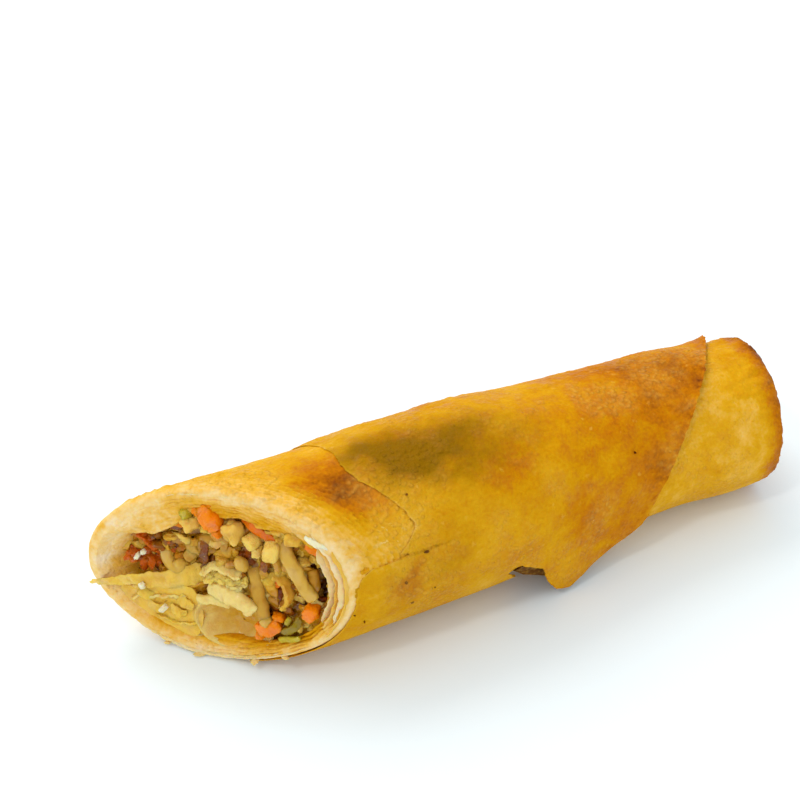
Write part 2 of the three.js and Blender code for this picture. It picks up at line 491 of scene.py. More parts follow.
def swept(
    path: Array, width: Array | float, height: Array | float, up: Array, power: float = 2.0, sides: int = 16
) -> tuple[Array, Faces]:
    """A bar, strip or noodle along a path, with rounded ends.

    Args:
        path: the middle line, shape (n, 3).
        width: across the path, one number or one for each place.
        height: along up, one number or one for each place.
        up: rough direction of the section's height.
        power: 2 for a round section, more for a squarer one.
        sides: points round the section.

    Returns:
        Vertices and faces.
    """
    n = len(path)
    step = np.gradient(path, axis=0)
    step /= np.maximum(np.linalg.norm(step, axis=1, keepdims=True), 1e-9)
    across = np.cross(step, up)
    across /= np.maximum(np.linalg.norm(across, axis=1, keepdims=True), 1e-9)
    rise = np.cross(across, step)
    turn = np.linspace(0, 2 * math.pi, sides, endpoint=False)
    c, s = np.cos(turn), np.sin(turn)
    cx, sy = np.sign(c) * np.abs(c) ** (2 / power), np.sign(s) * np.abs(s) ** (2 / power)
    run = np.concatenate([[0], np.cumsum(np.linalg.norm(np.diff(path, axis=0), axis=1))])
    w = np.broadcast_to(np.asarray(width, float), (n,)) / 2
    h = np.broadcast_to(np.asarray(height, float), (n,)) / 2
    reach = np.minimum(w, h)
    near = np.clip(np.minimum(run, run[-1] - run) / np.maximum(reach, 1e-6), 0, 1)
    close = np.maximum(np.sqrt(1 - (1 - near) ** 2), 0.08) ** (2 / power)
    rings = path[:, None] + (across[:, None] * (w * close)[:, None, None] * cx[None, :, None])
    rings = rings + rise[:, None] * (h * close)[:, None, None] * sy[None, :, None]
    return closed_rings(rings[:, ::-1])


def lump(
    centre: Array, size: Place, relief: Relief, turn: float, rough: float = 0.28, power: float = 2.6
) -> tuple[Array, Faces]:
    """An uneven bit, from round to blocky.

    Args:
        centre: its middle.
        size: its three full sizes.
        relief: noise that makes it uneven.
        turn: spin about the vertical, in radians.
        rough: how uneven it is.
        power: 2 for a round bit, more for a blockier one.

    Returns:
        Vertices and faces.
    """
    rings, around = 13, 20
    lat = np.linspace(-math.pi / 2, math.pi / 2, rings + 2)[1:-1]
    lon = np.linspace(0, 2 * math.pi, around, endpoint=False)
    unit = np.stack([
        np.cos(lat)[:, None] * np.cos(lon)[None],
        np.cos(lat)[:, None] * np.sin(lon)[None],
        np.broadcast_to(np.sin(lat)[:, None], (rings, around)),
    ], -1)
    seat = unit * 1.6 + np.asarray(centre) * 3.1
    unit = unit * (np.abs(unit) ** power).sum(-1, keepdims=True) ** (-1 / power) * 0.94
    unit = unit * (1 + rough * relief.rough(seat, 1.1, 3))[..., None]
    lean = relief.soft(np.asarray(centre)[None] * 5.3 + np.arange(3)[:, None] * 7.7, 2.0)
    high = unit[..., 2:]
    unit = unit * (1 + 0.35 * lean[0] * high) + high * np.array([lean[1], lean[2], 0.0]) * 0.5
    p = unit * np.array(size) / 2
    c, s = math.cos(turn), math.sin(turn)
    spun = np.stack([p[..., 0] * c - p[..., 1] * s, p[..., 0] * s + p[..., 1] * c, p[..., 2]], -1)
    return closed_rings(spun + centre)


# ---------------------------------------------------------------- finishes
class NodeGraph:
    """Shorthand for adding and joining shader nodes in one tree."""

    def __init__(self, tree: bpy.types.NodeTree) -> None:
        """Keep the tree.

        Args:
            tree: where nodes are added.
        """
        self.tree = tree

    def add(self, kind: str, **values: object) -> bpy.types.Node:
        """Add one node and set its properties.

        Args:
            kind: the node's type name.
            **values: properties to set on it.

        Returns:
            The node.
        """
        node = self.tree.nodes.new(kind)
        for key, value in values.items():
            setattr(node, key, value)
        return node

    def join(self, start: Socket, end: Socket) -> None:
        """Link one socket to another."""
        self.tree.links.new(start, end)

    def maths(self, kind: str, a: object, b: object = 0.0, c: object = 0.0) -> Socket:
        """A maths node on numbers or sockets.

        Args:
            kind: the operation.
            a: first number or socket.
            b: second number or socket.
            c: third number or socket.

        Returns:
            The result's socket.
        """
        node = self.add("ShaderNodeMath", operation=kind)
        for socket, value in zip(node.inputs, (a, b, c)):
            if isinstance(value, Socket):
                self.join(value, socket)
            else:
                socket.default_value = value
        return node.outputs[0]

    def noise(self, place: Socket, size_mm: float, detail: float = 3.0) -> Socket:
        """Noise, 0 to 1.

        Args:
            place: where it is read.
            size_mm: width of one swell, in millimetres.
            detail: how much finer noise lies on it.

        Returns:
            The noise's socket.
        """
        node = self.add("ShaderNodeTexNoise")
        node.inputs["Scale"].default_value = 1.0 / (size_mm * MM)
        node.inputs["Detail"].default_value = detail
        self.join(place, node.inputs["Vector"])
        return node.outputs["Fac"]

    def dots(self, place: Socket, size_mm: float, feature: str = "F1") -> Socket:
        """Distance to scattered spots.

        Args:
            place: where it is read.
            size_mm: how far apart the spots are, in millimetres.
            feature: which distance is given.

        Returns:
            The distance's socket.
        """
        node = self.add("ShaderNodeTexVoronoi", feature=feature)
        node.inputs["Scale"].default_value = 1.0 / (size_mm * MM)
        self.join(place, node.inputs["Vector"])
        return node.outputs["Distance"]

    def band(
        self, value: Socket, low: float, high: float, start: float = 0.0, end: float = 1.0
    ) -> Socket:
        """Ease a value from one range to another.

        Args:
            value: the incoming socket.
            low: value that gives start.
            high: value that gives end.
            start: result at low.
            end: result at high.

        Returns:
            The result's socket.
        """
        node = self.add("ShaderNodeMapRange", interpolation_type="SMOOTHSTEP")
        self.join(value, node.inputs["Value"])
        for name, number in zip(("From Min", "From Max", "To Min", "To Max"), (low, high, start, end)):
            node.inputs[name].default_value = number
        return node.outputs["Result"]

    def blend(self, share: object, a: object, b: object, kind: str = "MIX") -> Socket:
        """Blend two colours.

        Args:
            share: how much of b, a number or a socket.
            a: first colour or socket.
            b: second colour or socket.
            kind: the blending mode.

        Returns:
            The colour's socket.
        """
        node = self.add("ShaderNodeMix", data_type="RGBA", blend_type=kind)
        for socket, value in ((node.inputs[0], share), (node.inputs[6], a), (node.inputs[7], b)):
            if isinstance(value, Socket):
                self.join(value, socket)
            elif isinstance(value, tuple):
                socket.default_value = (*value, 1.0)
            else:
                socket.default_value = value
        return node.outputs[2]

    def painted(self, name: str) -> Socket:
        """A value painted on the mesh under a name."""
        return self.add("ShaderNodeAttribute", attribute_name=name).outputs["Fac"]

    def place(self) -> Socket:
        """The point's own place on the object."""
        return self.add("ShaderNodeTexCoord").outputs["Object"]


class FryGroup:
    """Node group with what hot oil does to dough: mottling, blisters, pale flecks with painted glints on
    blister tops, and fine skin.
    """

    name = "fry_marks"

    @classmethod
    def get(cls) -> bpy.types.NodeTree:
        """Build the group once.

        Returns:
            The group, with inputs Toast, Mottle and Grain and outputs Toast, the pale flecks with painted
            glints, Shine and Height.
        """
        if cls.name in bpy.data.node_groups:
            return bpy.data.node_groups[cls.name]
        tree = bpy.data.node_groups.new(cls.name, "ShaderNodeTree")
        for label in ("Toast", "Mottle", "Grain"):
            tree.interface.new_socket(label, in_out="INPUT", socket_type="NodeSocketFloat")
        for label in ("Toast", "Flecks", "Shine", "Height"):
            tree.interface.new_socket(label, in_out="OUTPUT", socket_type="NodeSocketFloat")
        g = NodeGraph(tree)
        source, result = g.add("NodeGroupInput"), g.add("NodeGroupOutput")
        place = g.place()
        broad = g.noise(place, 8.0, 4.0)
        middle = g.noise(place, 2.2, 5.0)
        fine = g.noise(place, 0.5, 4.0)
        sway = g.maths("ADD", g.maths("MULTIPLY", broad, 0.45), g.maths("MULTIPLY", middle, 0.35))
        sway = g.maths("ADD", sway, g.maths("MULTIPLY", fine, 0.22))
        swing = g.maths("MULTIPLY", g.maths("SUBTRACT", sway, 0.51), source.outputs["Mottle"])
        g.join(g.maths("ADD", source.outputs["Toast"], swing), result.inputs["Toast"])
        # Pale specks in patches: partly the crust's own flecks, partly painted glints.
        patchy = g.band(g.noise(place, 7.0, 2.0), 0.48, 0.62)
        wide = g.maths("ADD", g.dots(place, 2.3), g.maths("MULTIPLY", g.maths("SUBTRACT", fine, 0.5), 0.5))
        specks_and_glints = g.maths("MULTIPLY", g.band(wide, 0.05, 0.20, 0.8, 0.0), patchy)
        g.join(g.band(middle, 0.42, 0.66), result.inputs["Shine"])
        bubbles = g.band(g.dots(place, 0.7, "SMOOTH_F1"), 0.1, 0.6, 1.0, 0.0)
        rash = g.band(g.noise(place, 9.0, 4.0), 0.46, 0.62)
        bubbly = g.maths("MULTIPLY", bubbles, g.maths("MULTIPLY_ADD", rash, 0.8, 0.2))
        # Paler bubbly patches whose blister tops are paler still: tan patches with painted glints on the
        # blisters.
        pale_and_glint = g.maths("MULTIPLY", rash, g.maths("MULTIPLY_ADD", bubbles, 0.5, 0.22))
        g.join(g.maths("MAXIMUM", specks_and_glints, pale_and_glint), result.inputs["Flecks"])
        skin = g.maths("ADD", g.maths("MULTIPLY", fine, 0.9), g.maths("MULTIPLY", bubbly, 1.1))
        skin = g.maths("ADD", skin, g.maths("MULTIPLY", middle, 0.7))
        skin = g.maths("ADD", skin, g.maths("MULTIPLY", specks_and_glints, 0.5))
        g.join(g.maths("MULTIPLY", skin, source.outputs["Grain"]), result.inputs["Height"])
        return tree


def ramp(graph: NodeGraph, value: Socket, stops: tuple[tuple[float, Colour], ...]) -> Socket:
    """A colour ramp.

    Args:
        graph: where it is added.
        value: the socket that drives it.
        stops: places and colours, in order.

    Returns:
        The colour's socket.
    """
    node = graph.add("ShaderNodeValToRGB")
    graph.join(value, node.inputs["Fac"])
    elements = node.color_ramp.elements
    while len(elements) < len(stops):
        elements.new(0.5)
    for element, (where, colour) in zip(elements, stops):
        element.position = where
        element.color = (*colour, 1.0)
    return node.outputs["Color"]


def blank_finish(name: str) -> tuple[bpy.types.Material, NodeGraph, bpy.types.Node]:
    """Start a material.

    Args:
        name: its name.

    Returns:
        The material, its graph and its Principled shader, joined to the surface.
    """
    material = bpy.data.materials.new(name)
    material.use_nodes = True
    material.node_tree.nodes.clear()
    g = NodeGraph(material.node_tree)
    output = g.add("ShaderNodeOutputMaterial")
    shader = g.add("ShaderNodeBsdfPrincipled")
    g.join(shader.outputs["BSDF"], output.inputs["Surface"])
    return material, g, shader


@dataclass(frozen=True)
class FriedPastry:
    """Finish of the pastry, from raw cream at 0 through gold to burnt brown at 1."""

    name: str
    mottle: float = 0.95
    grain: float = 1.0
    roughness: float = 0.46
    oil: float = 0.07
    glow: float = 0.12
    # How strongly the pale flecks and painted glints show.
    pale_and_glint: float = 0.42
    stops: tuple[tuple[float, Colour], ...] = (
        (0.0, (0.90, 0.70, 0.44)),
        (0.14, (0.88, 0.60, 0.24)),
        (0.28, (0.83, 0.46, 0.072)),
        (0.42, (0.73, 0.36, 0.007)),
        (0.56, (0.65, 0.275, 0.001)),
        (0.70, (0.55, 0.170, 0.001)),
        (0.86, (0.30, 0.075, 0.001)),
        (1.0, (0.09, 0.02, 0.001)),
    )
    # Dark olive of the mottling, also standing in as painted shadow over the top.
    olive: Colour = (0.25, 0.115, 0.0005)
    # Colour of the pale flecks and of the painted glints.
    fleck_and_glint: Colour = (0.88, 0.48, 0.08)

    def build(self) -> bpy.types.Material:
        """Make the material.

        Returns:
            A material that reads the painted toast and the painted olive mottling, which is partly painted
            shadow.
        """
        material, g, shader = blank_finish(self.name)
        marks = g.add("ShaderNodeGroup", node_tree=FryGroup.get())
        g.join(g.painted("toast"), marks.inputs["Toast"])
        marks.inputs["Mottle"].default_value = self.mottle
        marks.inputs["Grain"].default_value = self.grain
        colour = ramp(g, marks.outputs["Toast"], self.stops)
        # Olive mottling, partly painted shadow over the top.
        colour = g.blend(g.painted("olive"), colour, self.olive)
        clear = g.maths("MULTIPLY", g.maths("SUBTRACT", 1.0, g.painted("olive")), self.pale_and_glint)
        # Blend in the pale flecks and the painted glints, less where the olive is.
        colour = g.blend(g.maths("MULTIPLY", marks.outputs["Flecks"], clear), colour, self.fleck_and_glint)
        g.join(colour, shader.inputs["Base Color"])
        rough = g.band(marks.outputs["Shine"], 0.0, 1.0, self.roughness + 0.12, self.roughness - 0.08)
        g.join(rough, shader.inputs["Roughness"])
        relief = g.add("ShaderNodeBump")
        relief.inputs["Strength"].default_value = 1.0
        relief.inputs["Distance"].default_value = 0.2 * MM
        g.join(marks.outputs["Height"], relief.inputs["Height"])
        g.join(relief.outputs["Normal"], shader.inputs["Normal"])
        shader.inputs["Specular IOR Level"].default_value = 0.02
        g.join(g.maths("MULTIPLY", marks.outputs["Shine"], self.oil), shader.inputs["Coat Weight"])
        shader.inputs["Coat Roughness"].default_value = 0.25
        shader.inputs["Subsurface Weight"].default_value = self.glow
        shader.inputs["Subsurface Radius"].default_value = (1.0, 0.45, 0.10)
        shader.inputs["Subsurface Scale"].default_value = 1.0 * MM
        return material


@dataclass(frozen=True)
class SoftFood:
    """Finish of a cooked, moist piece of filling: two tones, wet shine and light that sinks in."""

    name: str
    tone: Colour
    shade: Colour
    stain: Colour
    stain_share: float = 0.35
    grain_mm: float = 0.9
    bumpiness: float = 0.5
    roughness: float = 0.24
    wet: float = 0.8
    glow: float = 0.4
    glow_radius: Colour = (1.0, 0.6, 0.22)
    sheen_tint: Colour = (1.0, 0.84, 0.58)

    def build(self) -> bpy.types.Material:
        """Make the material.

        Returns:
            A material that reads the painted value tone, which moves each piece between its tones.
        """
        material, g, shader = blank_finish(self.name)
        place = g.place()
        cloud = g.noise(place, self.grain_mm * 2.2, 4.0)
        share = g.maths("ADD", g.painted("tone"), g.maths("MULTIPLY", g.maths("SUBTRACT", cloud, 0.5), 1.3))
        colour = g.blend(g.band(share, 0.0, 1.0), self.tone, self.shade)
        soak = g.band(g.noise(place, 2.6, 4.0), 0.46, 0.70, 0.0, self.stain_share)
        colour = g.blend(soak, colour, self.stain)
        g.join(colour, shader.inputs["Base Color"])
        fine = g.noise(place, self.grain_mm * 0.5, 4.0)
        rough = g.band(fine, 0.3, 0.7, self.roughness - 0.1, self.roughness + 0.12)
        g.join(rough, shader.inputs["Roughness"])
        relief = g.add("ShaderNodeBump")
        relief.inputs["Strength"].default_value = self.bumpiness
        relief.inputs["Distance"].default_value = 0.25 * MM
        g.join(fine, relief.inputs["Height"])
        g.join(relief.outputs["Normal"], shader.inputs["Normal"])
        shader.inputs["Specular IOR Level"].default_value = 0.12
        shader.inputs["Specular Tint"].default_value = (*self.sheen_tint, 1.0)
        g.join(g.band(cloud, 0.44, 0.62, 0.1 * self.wet, self.wet), shader.inputs["Coat Weight"])
        shader.inputs["Coat Roughness"].default_value = 0.1
        shader.inputs["Coat IOR"].default_value = 1.5
        shader.inputs["Subsurface Weight"].default_value = self.glow
        shader.inputs["Subsurface Radius"].default_value = self.glow_radius
        shader.inputs["Subsurface Scale"].default_value = 1.4 * MM
        return material


class Food(Enum):
    """Kinds of filling, each with its finish."""

    CABBAGE = SoftFood("cabbage", (0.82, 0.49, 0.06), (0.58, 0.25, 0.008), (0.44, 0.15, 0.002))
    STEM = SoftFood(
        "cabbage_stem", (0.84, 0.61, 0.19), (0.68, 0.37, 0.03), (0.58, 0.23, 0.006),
        stain_share=0.35,
    )
    CARROT = SoftFood(
        "carrot", (0.90, 0.23, 0.001), (0.72, 0.14, 0.001), (0.58, 0.09, 0.001),
        stain_share=0.3, grain_mm=0.6,
    )
    NOODLE = SoftFood(
        "noodle", (0.64, 0.38, 0.055), (0.42, 0.17, 0.005), (0.32, 0.10, 0.001),
        stain_share=0.45, grain_mm=1.6, bumpiness=0.3, roughness=0.14, wet=1.0, glow=0.5,
    )
    ONION = SoftFood(
        "onion", (0.80, 0.50, 0.09), (0.56, 0.24, 0.010), (0.42, 0.13, 0.002),
        stain_share=0.5, grain_mm=1.2, bumpiness=0.4, roughness=0.16, wet=1.0, glow=0.5,
    )
    GREEN = SoftFood(
        "green_onion", (0.52, 0.40, 0.02), (0.26, 0.17, 0.002), (0.36, 0.16, 0.002),
        stain_share=0.3, grain_mm=0.7, bumpiness=0.4, roughness=0.2,
    )
    EGG = SoftFood(
        "egg_crumb", (0.90, 0.60, 0.12), (0.66, 0.33, 0.02), (0.44, 0.16, 0.003),
        stain_share=0.45, grain_mm=0.5, bumpiness=0.8, roughness=0.32,
    )
    BROWN = SoftFood(
        "seasoned_bits", (0.52, 0.20, 0.006), (0.17, 0.038, 0.001), (0.34, 0.05, 0.001),
        stain_share=0.5, grain_mm=0.8, bumpiness=0.8, roughness=0.25,
    )
    RED = SoftFood(
        "red_bits", (0.60, 0.115, 0.004), (0.30, 0.035, 0.001), (0.46, 0.09, 0.002),
        stain_share=0.4, grain_mm=0.8, bumpiness=0.7, roughness=0.25,
    )
    # The second tone is near black: painted shade for the pits of the packed filling.
    MASH = SoftFood(
        "packed_filling", (0.62, 0.29, 0.010), (0.10, 0.025, 0.0005), (0.26, 0.065, 0.0005),
        stain_share=0.4, grain_mm=1.2, bumpiness=1.0, roughness=0.2,
    )
    WHITE = SoftFood(
        "white_specks", (0.93, 0.84, 0.58), (0.86, 0.68, 0.34), (0.80, 0.52, 0.14),
        stain_share=0.2, grain_mm=0.4, bumpiness=0.5, roughness=0.3,
    )

    def dressed(self) -> bpy.types.Material:
        """The kind's material, built once."""
        return bpy.data.materials.get(self.value.name) or self.value.build()


# ---------------------------------------------------------------- pastry
# Each spot: place along the roll, angle round it, reach along, reach round, amount.
TOAST_SPOTS = (
    Spot(30, 150, 12, 26, -0.06),
    Spot(19, 196, 6, 22, 0.06),
    Spot(24.6, 168, 1.2, 12, 0.10),
    Spot(33, 100, 6, 13, 0.14),
    Spot(27, 92, 5, 10, 0.10),
    Spot(39, 128, 4.5, 12, 0.05),
    Spot(44, 130, 3.0, 9, 0.05),
    Spot(25.6, 161, 0.9, 4, 0.15),
    Spot(24.4, 166, 0.9, 4, 0.15),
    Spot(23.2, 171, 0.9, 4, 0.13),
    Spot(22.0, 177, 1.3, 6, 0.12),
    Spot(46, 92, 9, 16, 0.02),
    Spot(36, 200, 14, 20, -0.07),
    Spot(60, 118, 9, 22, 0.03),
    Spot(74, 92, 12, 26, 0.10),
    Spot(56, 165, 9, 26, 0.02),
    Spot(67, 150, 5, 22, 0.04),
)
# Olive mottling over the top behind the cut, partly painted shadow as if cast by a piece lying above;
# columns as above.
OLIVE_AND_SHADOW_SPOTS = (
    Spot(30, 107, 7, 14, 0.85),
    Spot(25, 90, 7, 14, 0.85),
    Spot(37, 96, 7, 14, 0.60),
    Spot(37, 118, 6, 12, 0.45),
    Spot(45, 108, 6, 14, 0.30),
    Spot(26, 172, 8, 20, 0.18),
)


@dataclass
class LastTurn:
    """The outermost turn of pastry: torn at the left, free and hanging at the right."""

    shop: Workshop
    thickness: float = 0.32
    angle_from: float = -72.0
    angle_to: float = 250.0
    hang_from: float = 186.0
    tear_top: float = 195.0
    corner_bottom: float = 231.0
    slit_angle: float = 155.4
    slit_end: float = 24.3
    edge_curl: float = 0.22
    tip_lift: float = 0.8
    column_counts: tuple[int, int, int] = (104, 6, 110)
    relief: Relief = field(default_factory=lambda: Relief(23))

    def torn_edge(self, angle: Array) -> Array:
        """Left edge: the tear over the top, and the cut itself from the near side down.

        Args:
            angle: angles round the roll.

        Returns:
            The edge's place along X at each angle.
        """
        outline = [
            (-72, 12.5), (-30, 13.0), (10, 14.5), (48, 17.5), (70, 19.0), (80, 19.5), (98, 19.7),
            (107, 20.6), (115, 22.4), (122, 23.6), (131, 25.2), (140, 26.0), (145, 25.3), (150, 24.0),
            (153.5, 22.8), (self.slit_angle, self.slit_end), (156.2, 21.6), (156.7, 19.9), (157, 18.0),
            (161, 16.6), (166, 15.9), (169, 13.6), (177, 12.6), (190, 12.3),
        ]
        edge = along(outline, angle, right=-30.0)
        key = places(angle * 0.24, 0.0, 5.0)
        ragged = 0.25 * self.relief.rough(key, 1.5) + 0.12 * self.relief.soft(key, 0.5)
        return np.maximum(edge, FORM.rim(angle) + 0.35) + ragged

    def free_edge(self, angle: Array) -> Array:
        """Right edge: climbs slantwise from the hanging corner to the far side of the folded end.

        Args:
            angle: angles round the roll.

        Returns:
            The edge's place along X at each angle.
        """
        outline = [
            (-72, 89.4), (30, 89.8), (48, 88.8), (60, 87.6), (72, 85.8), (88, 83.2), (103, 80.8),
            (122, 77.2), (139, 73.9), (153, 71.2), (167, 69.3), (182, 67.4), (198, 66.3), (204, 64.8),
            (211, 62.0), (221, 57.0), (self.corner_bottom, 51.7),
        ]
        key = places(angle * 0.22)
        ragged = 0.26 * self.relief.rough(key, 2.2) + 0.22 * self.relief.soft(key, 0.7)
        return along(outline, angle) + ragged

    def tear(self, angle: Array) -> tuple[Array, Array]:
        """Left and right side of the tear beside the hanging corner.

        Args:
            angle: angles round the roll.

        Returns:
            Places along X of the tear's left side and of its right side.
        """
        left = [
            (195, 41.5), (199.5, 40.1), (203, 40.7), (208, 41.3), (217, 43.0), (225, 43.4), (250, 44.0),
        ]
        right = [
            (195, 42.3), (198, 43.6), (201, 44.7), (204.5, 46.1), (209.5, 46.6), (220, 47.5),
            (228.5, 49.1), (231, 51.2),
        ]
        jag = 0.28 * self.relief.soft(places(angle * 0.9, 3.0), 1.3) * (angle > self.tear_top + 2)
        return along(left, angle) + jag, along(right, angle) + jag

    def points(
        self, x: Array, angle: Array, from_left: Array, from_right: Array, loose: Array
    ) -> Array:
        """Place the sheet: round the roll, and straight down where the corner hangs.

        Args:
            x: places along the roll.
            angle: angles round it.
            from_left: distance from the left edge.
            from_right: distance from the right edge.
            loose: 1 where the sheet hangs free, 0 where it is rolled on.

        Returns:
            The sheet's outer points.
        """
        seat = places(x, angle * ARC)
        side = bump(angle, 120, 75)
        curl = self.edge_curl * np.exp(-from_right / 1.6) * side
        curl = curl + self.tip_lift * np.exp(-from_right / 3.0) * bump(angle, 52, 26)
        curl = curl - mix(0.22, 0.34, smooth(angle, 150, 175)) * (1 - smooth(from_left, 0, 4.0))
        blister = 0.15 * self.relief.blisters(seat, 2.4) * smooth(self.relief.soft(seat, 7.0), -0.2, 0.5)
        crowded = smooth(self.relief.soft(seat + 50, 9.0), 0.0, 0.5)
        blister = blister + 0.10 * self.relief.blisters(seat + 31, 1.5) * crowded
        fine = 0.07 * self.relief.rough(seat, 1.2)
        crinkle = self.relief.rough(seat * np.array([0.7, 2.4, 1.0]) + 70, 2.2)
        wrinkle = 0.12 * crinkle * bump(x, 26, 16) * bump(angle, 125, 50)
        ripple = 0.26 * self.relief.soft(seat, 8.0) * smooth(from_left, 0, 7.0)
        rise = curl + (blister + fine + wrinkle) * (0.35 + 0.65 * smooth(from_left, 0, 3.0)) + ripple
        rolled = FORM.surface(x, angle, -rise)
        start = FORM.surface(x, np.minimum(angle, self.hang_from), -rise)
        drop = np.radians(np.maximum(angle - self.hang_from, 0)) * FORM.width(x) * 0.49
        wave = 0.30 * np.sin(x * 0.45 + 0.4) * smooth(drop, 1.0, 8.0)
        hung = start + np.stack([np.zeros_like(x), 0.03 * drop + wave, -drop], -1)
        placed = mix(rolled, hung, loose[..., None])
        placed[..., 2] = np.maximum(placed[..., 2], self.thickness * 0.6 * (angle > self.hang_from))
        return placed

    def toast(self, x: Array, angle: Array, from_left: Array, from_right: Array) -> Array:
        """How brown the sheet is.

        Args:
            x: places along the roll.
            angle: angles round it.
            from_left: distance from the left edge.
            from_right: distance from the right edge.

        Returns:
            Toast, from 0 to 1.
        """
        seat = places(x, angle * ARC, 9.0)
        t = 0.52 + 0.13 * smooth(x, 35, 72) + 0.07 * self.relief.rough(seat, 13.0)
        for spot in TOAST_SPOTS:
            t += spot.share(x, angle)
        t += 0.10 * np.exp(-from_right / 5.0) * bump(angle, 110, 90)
        rusty = smooth(self.relief.rough(seat + 5, 1.6), -0.2, 0.6)
        t += 0.14 * np.exp(-((from_right / 2.2) ** 2)) * rusty
        bare = smooth(self.relief.rough(seat + 9, 1.2), -0.1, 0.5)
        t -= 0.12 * np.exp(-((from_right / 0.35) ** 2)) * bare
        t -= 0.10 * np.exp(-((from_left / 0.3) ** 2))
        return np.clip(t, 0.02, 1)

    def olive(self, x: Array, angle: Array) -> Array:
        """How olive the sheet is: olive mottling, partly painted shadow over the top.

        Args:
            x: places along the roll.
            angle: angles round it.

        Returns:
            Olive with its painted shadow, from 0 to 1.
        """
        o = 0.10 * (1 - smooth(x, 30, 60))
        for spot in OLIVE_AND_SHADOW_SPOTS:
            o = o + spot.share(x, angle)
        seat = places(x, angle * ARC, 40.0)
        return np.clip(o * (0.9 + 0.55 * self.relief.rough(seat, 5.0)), 0, 0.95)

    def build(self, finish: bpy.types.Material) -> bpy.types.Object:
        """Make the sheet.

        Args:
            finish: the pastry's material.

        Returns:
            The piece.
        """
        angles = np.concatenate([
            np.arange(self.angle_from, 24, 4.0), np.arange(24, 148, 1.6), np.arange(148, 160, 0.5),
            np.arange(160, 186, 1.3), np.arange(186, 232, 1.0), np.arange(232, self.angle_to, 2.0),
        ])
        spans = self.column_counts
        left, right = self.torn_edge(angles), self.free_edge(angles)
        tear_left, tear_right = self.tear(angles)
        right = np.maximum(right, tear_right + 0.3)
        knots = [left, tear_left, tear_right, right]
        columns = [
            mix(a[:, None], b[:, None], np.linspace(0, 1, n, endpoint=False)[None])
            for a, b, n in zip(knots, knots[1:], spans)
        ]
        x = np.concatenate([*columns, right[:, None]], 1)
        angle = np.broadcast_to(angles[:, None], x.shape)
        unslit = np.where((angles > 153.5) & (angles < 156.7), np.minimum(left, 22.8), left)
        from_left, from_right = x - unslit[:, None], right[:, None] - x
        beyond = (np.arange(x.shape[1]) >= spans[0] + spans[1] - 1)[None]
        loose = np.where(angle > self.tear_top, beyond, smooth(x, 40, 45)) * (angle > self.hang_from)
        points = self.points(x, angle, from_left, from_right, loose)
        keep = np.ones((len(angles) - 1, x.shape[1] - 1), bool)
        keep[angles[:-1] >= self.tear_top, spans[0]:spans[0] + spans[1]] = False
        keep[angles[:-1] >= self.corner_bottom, spans[0]:] = False
        border = np.minimum(from_left, from_right)
        thin = self.thickness * (0.35 + 0.65 * smooth(border, 0.0, 1.2))
        vertices, faces, source = thick_sheet(points, keep, thin, flip=True)
        mass = Mass()
        toast = self.toast(x, angle, from_left, from_right).ravel()[source]
        mass.add(vertices, faces, toast=toast, olive=self.olive(x, angle).ravel()[source])
        piece = self.shop.make("last_turn", mass, finish, "fried_pastry")
        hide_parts("pastry_wrapper")
        return piece


@dataclass
class MiddleTurn:
    """A pale, wrinkled turn that shows between the tear and the browned patch."""

    shop: Workshop
    over: LastTurn
    thickness: float = 0.24
    inset: float = 0.38
    hidden_end: float = 31.0
    relief: Relief = field(default_factory=lambda: Relief(31))

    def left_edge(self, angle: Array) -> Array:
        """Edge against the browned patch.

        Args:
            angle: angles round the roll.

        Returns:
            The edge's place along X at each angle.
        """
        outline = [
            (92, 21.5), (100, 20.6), (107, 19.9), (114, 18.6), (124, 16.6), (133, 15.2), (142, 14.4),
            (152, 14.6), (166, 14.0),
        ]
        return np.maximum(along(outline, angle), FORM.rim(angle) + 0.1)

    def build(self, finish: bpy.types.Material) -> bpy.types.Object:
        """Make the turn.

        Args:
            finish: the pastry's material.

        Returns:
            The piece.
        """
        angles = np.arange(92, 172, 0.9)
        left = self.left_edge(angles) + 0.10 * self.relief.rough(places(angles * 0.3), 1.2)
        right = np.full_like(left, self.hidden_end)
        x = mix(left[:, None], right[:, None], np.linspace(0, 1, 70)[None])
        angle = np.broadcast_to(angles[:, None], x.shape)
        seat = places(x, angle * ARC)
        wrinkle = 0.06 * self.relief.rough(seat * np.array([0.8, 2.2, 1.0]), 1.9)
        wrinkle = wrinkle + 0.03 * self.relief.rough(seat, 0.9)
        slit = self.over.slit_end * (np.abs(angle - 155) < 4)
        covered = smooth(x - np.maximum(self.over.torn_edge(angle), slit), 0.6, 3.0)
        dip = 0.08 * (1 - smooth(x - left[:, None], 0, 2.0)) + 0.45 * covered
        points = FORM.surface(x, angle, self.inset - wrinkle + dip)
        keep = np.ones((len(angles) - 1, x.shape[1] - 1), bool)
        thin = 0.12 + self.thickness * smooth(x - left[:, None], 0.0, 3.0)
        vertices, faces, source = thick_sheet(points, keep, thin, flip=True)
        edge = np.exp(-(((x - left[:, None]) / 0.9) ** 2))
        toast = 0.40 + 0.07 * self.relief.rough(seat, 4.0) + 0.10 * edge - 0.06 * bump(angle, 140, 18)
        toast = toast + 0.10 * bump(angle, 98, 18)
        olive = 0.30 * smooth(self.relief.rough(seat, 5.0), -0.6, 0.6) * np.ones_like(x)
        mass = Mass()
        mass.add(vertices, faces, toast=toast.ravel()[source], olive=olive.ravel()[source])
        piece = self.shop.make("middle_turn", mass, finish, "fried_pastry")
        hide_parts("pastry_wrapper")
        return piece


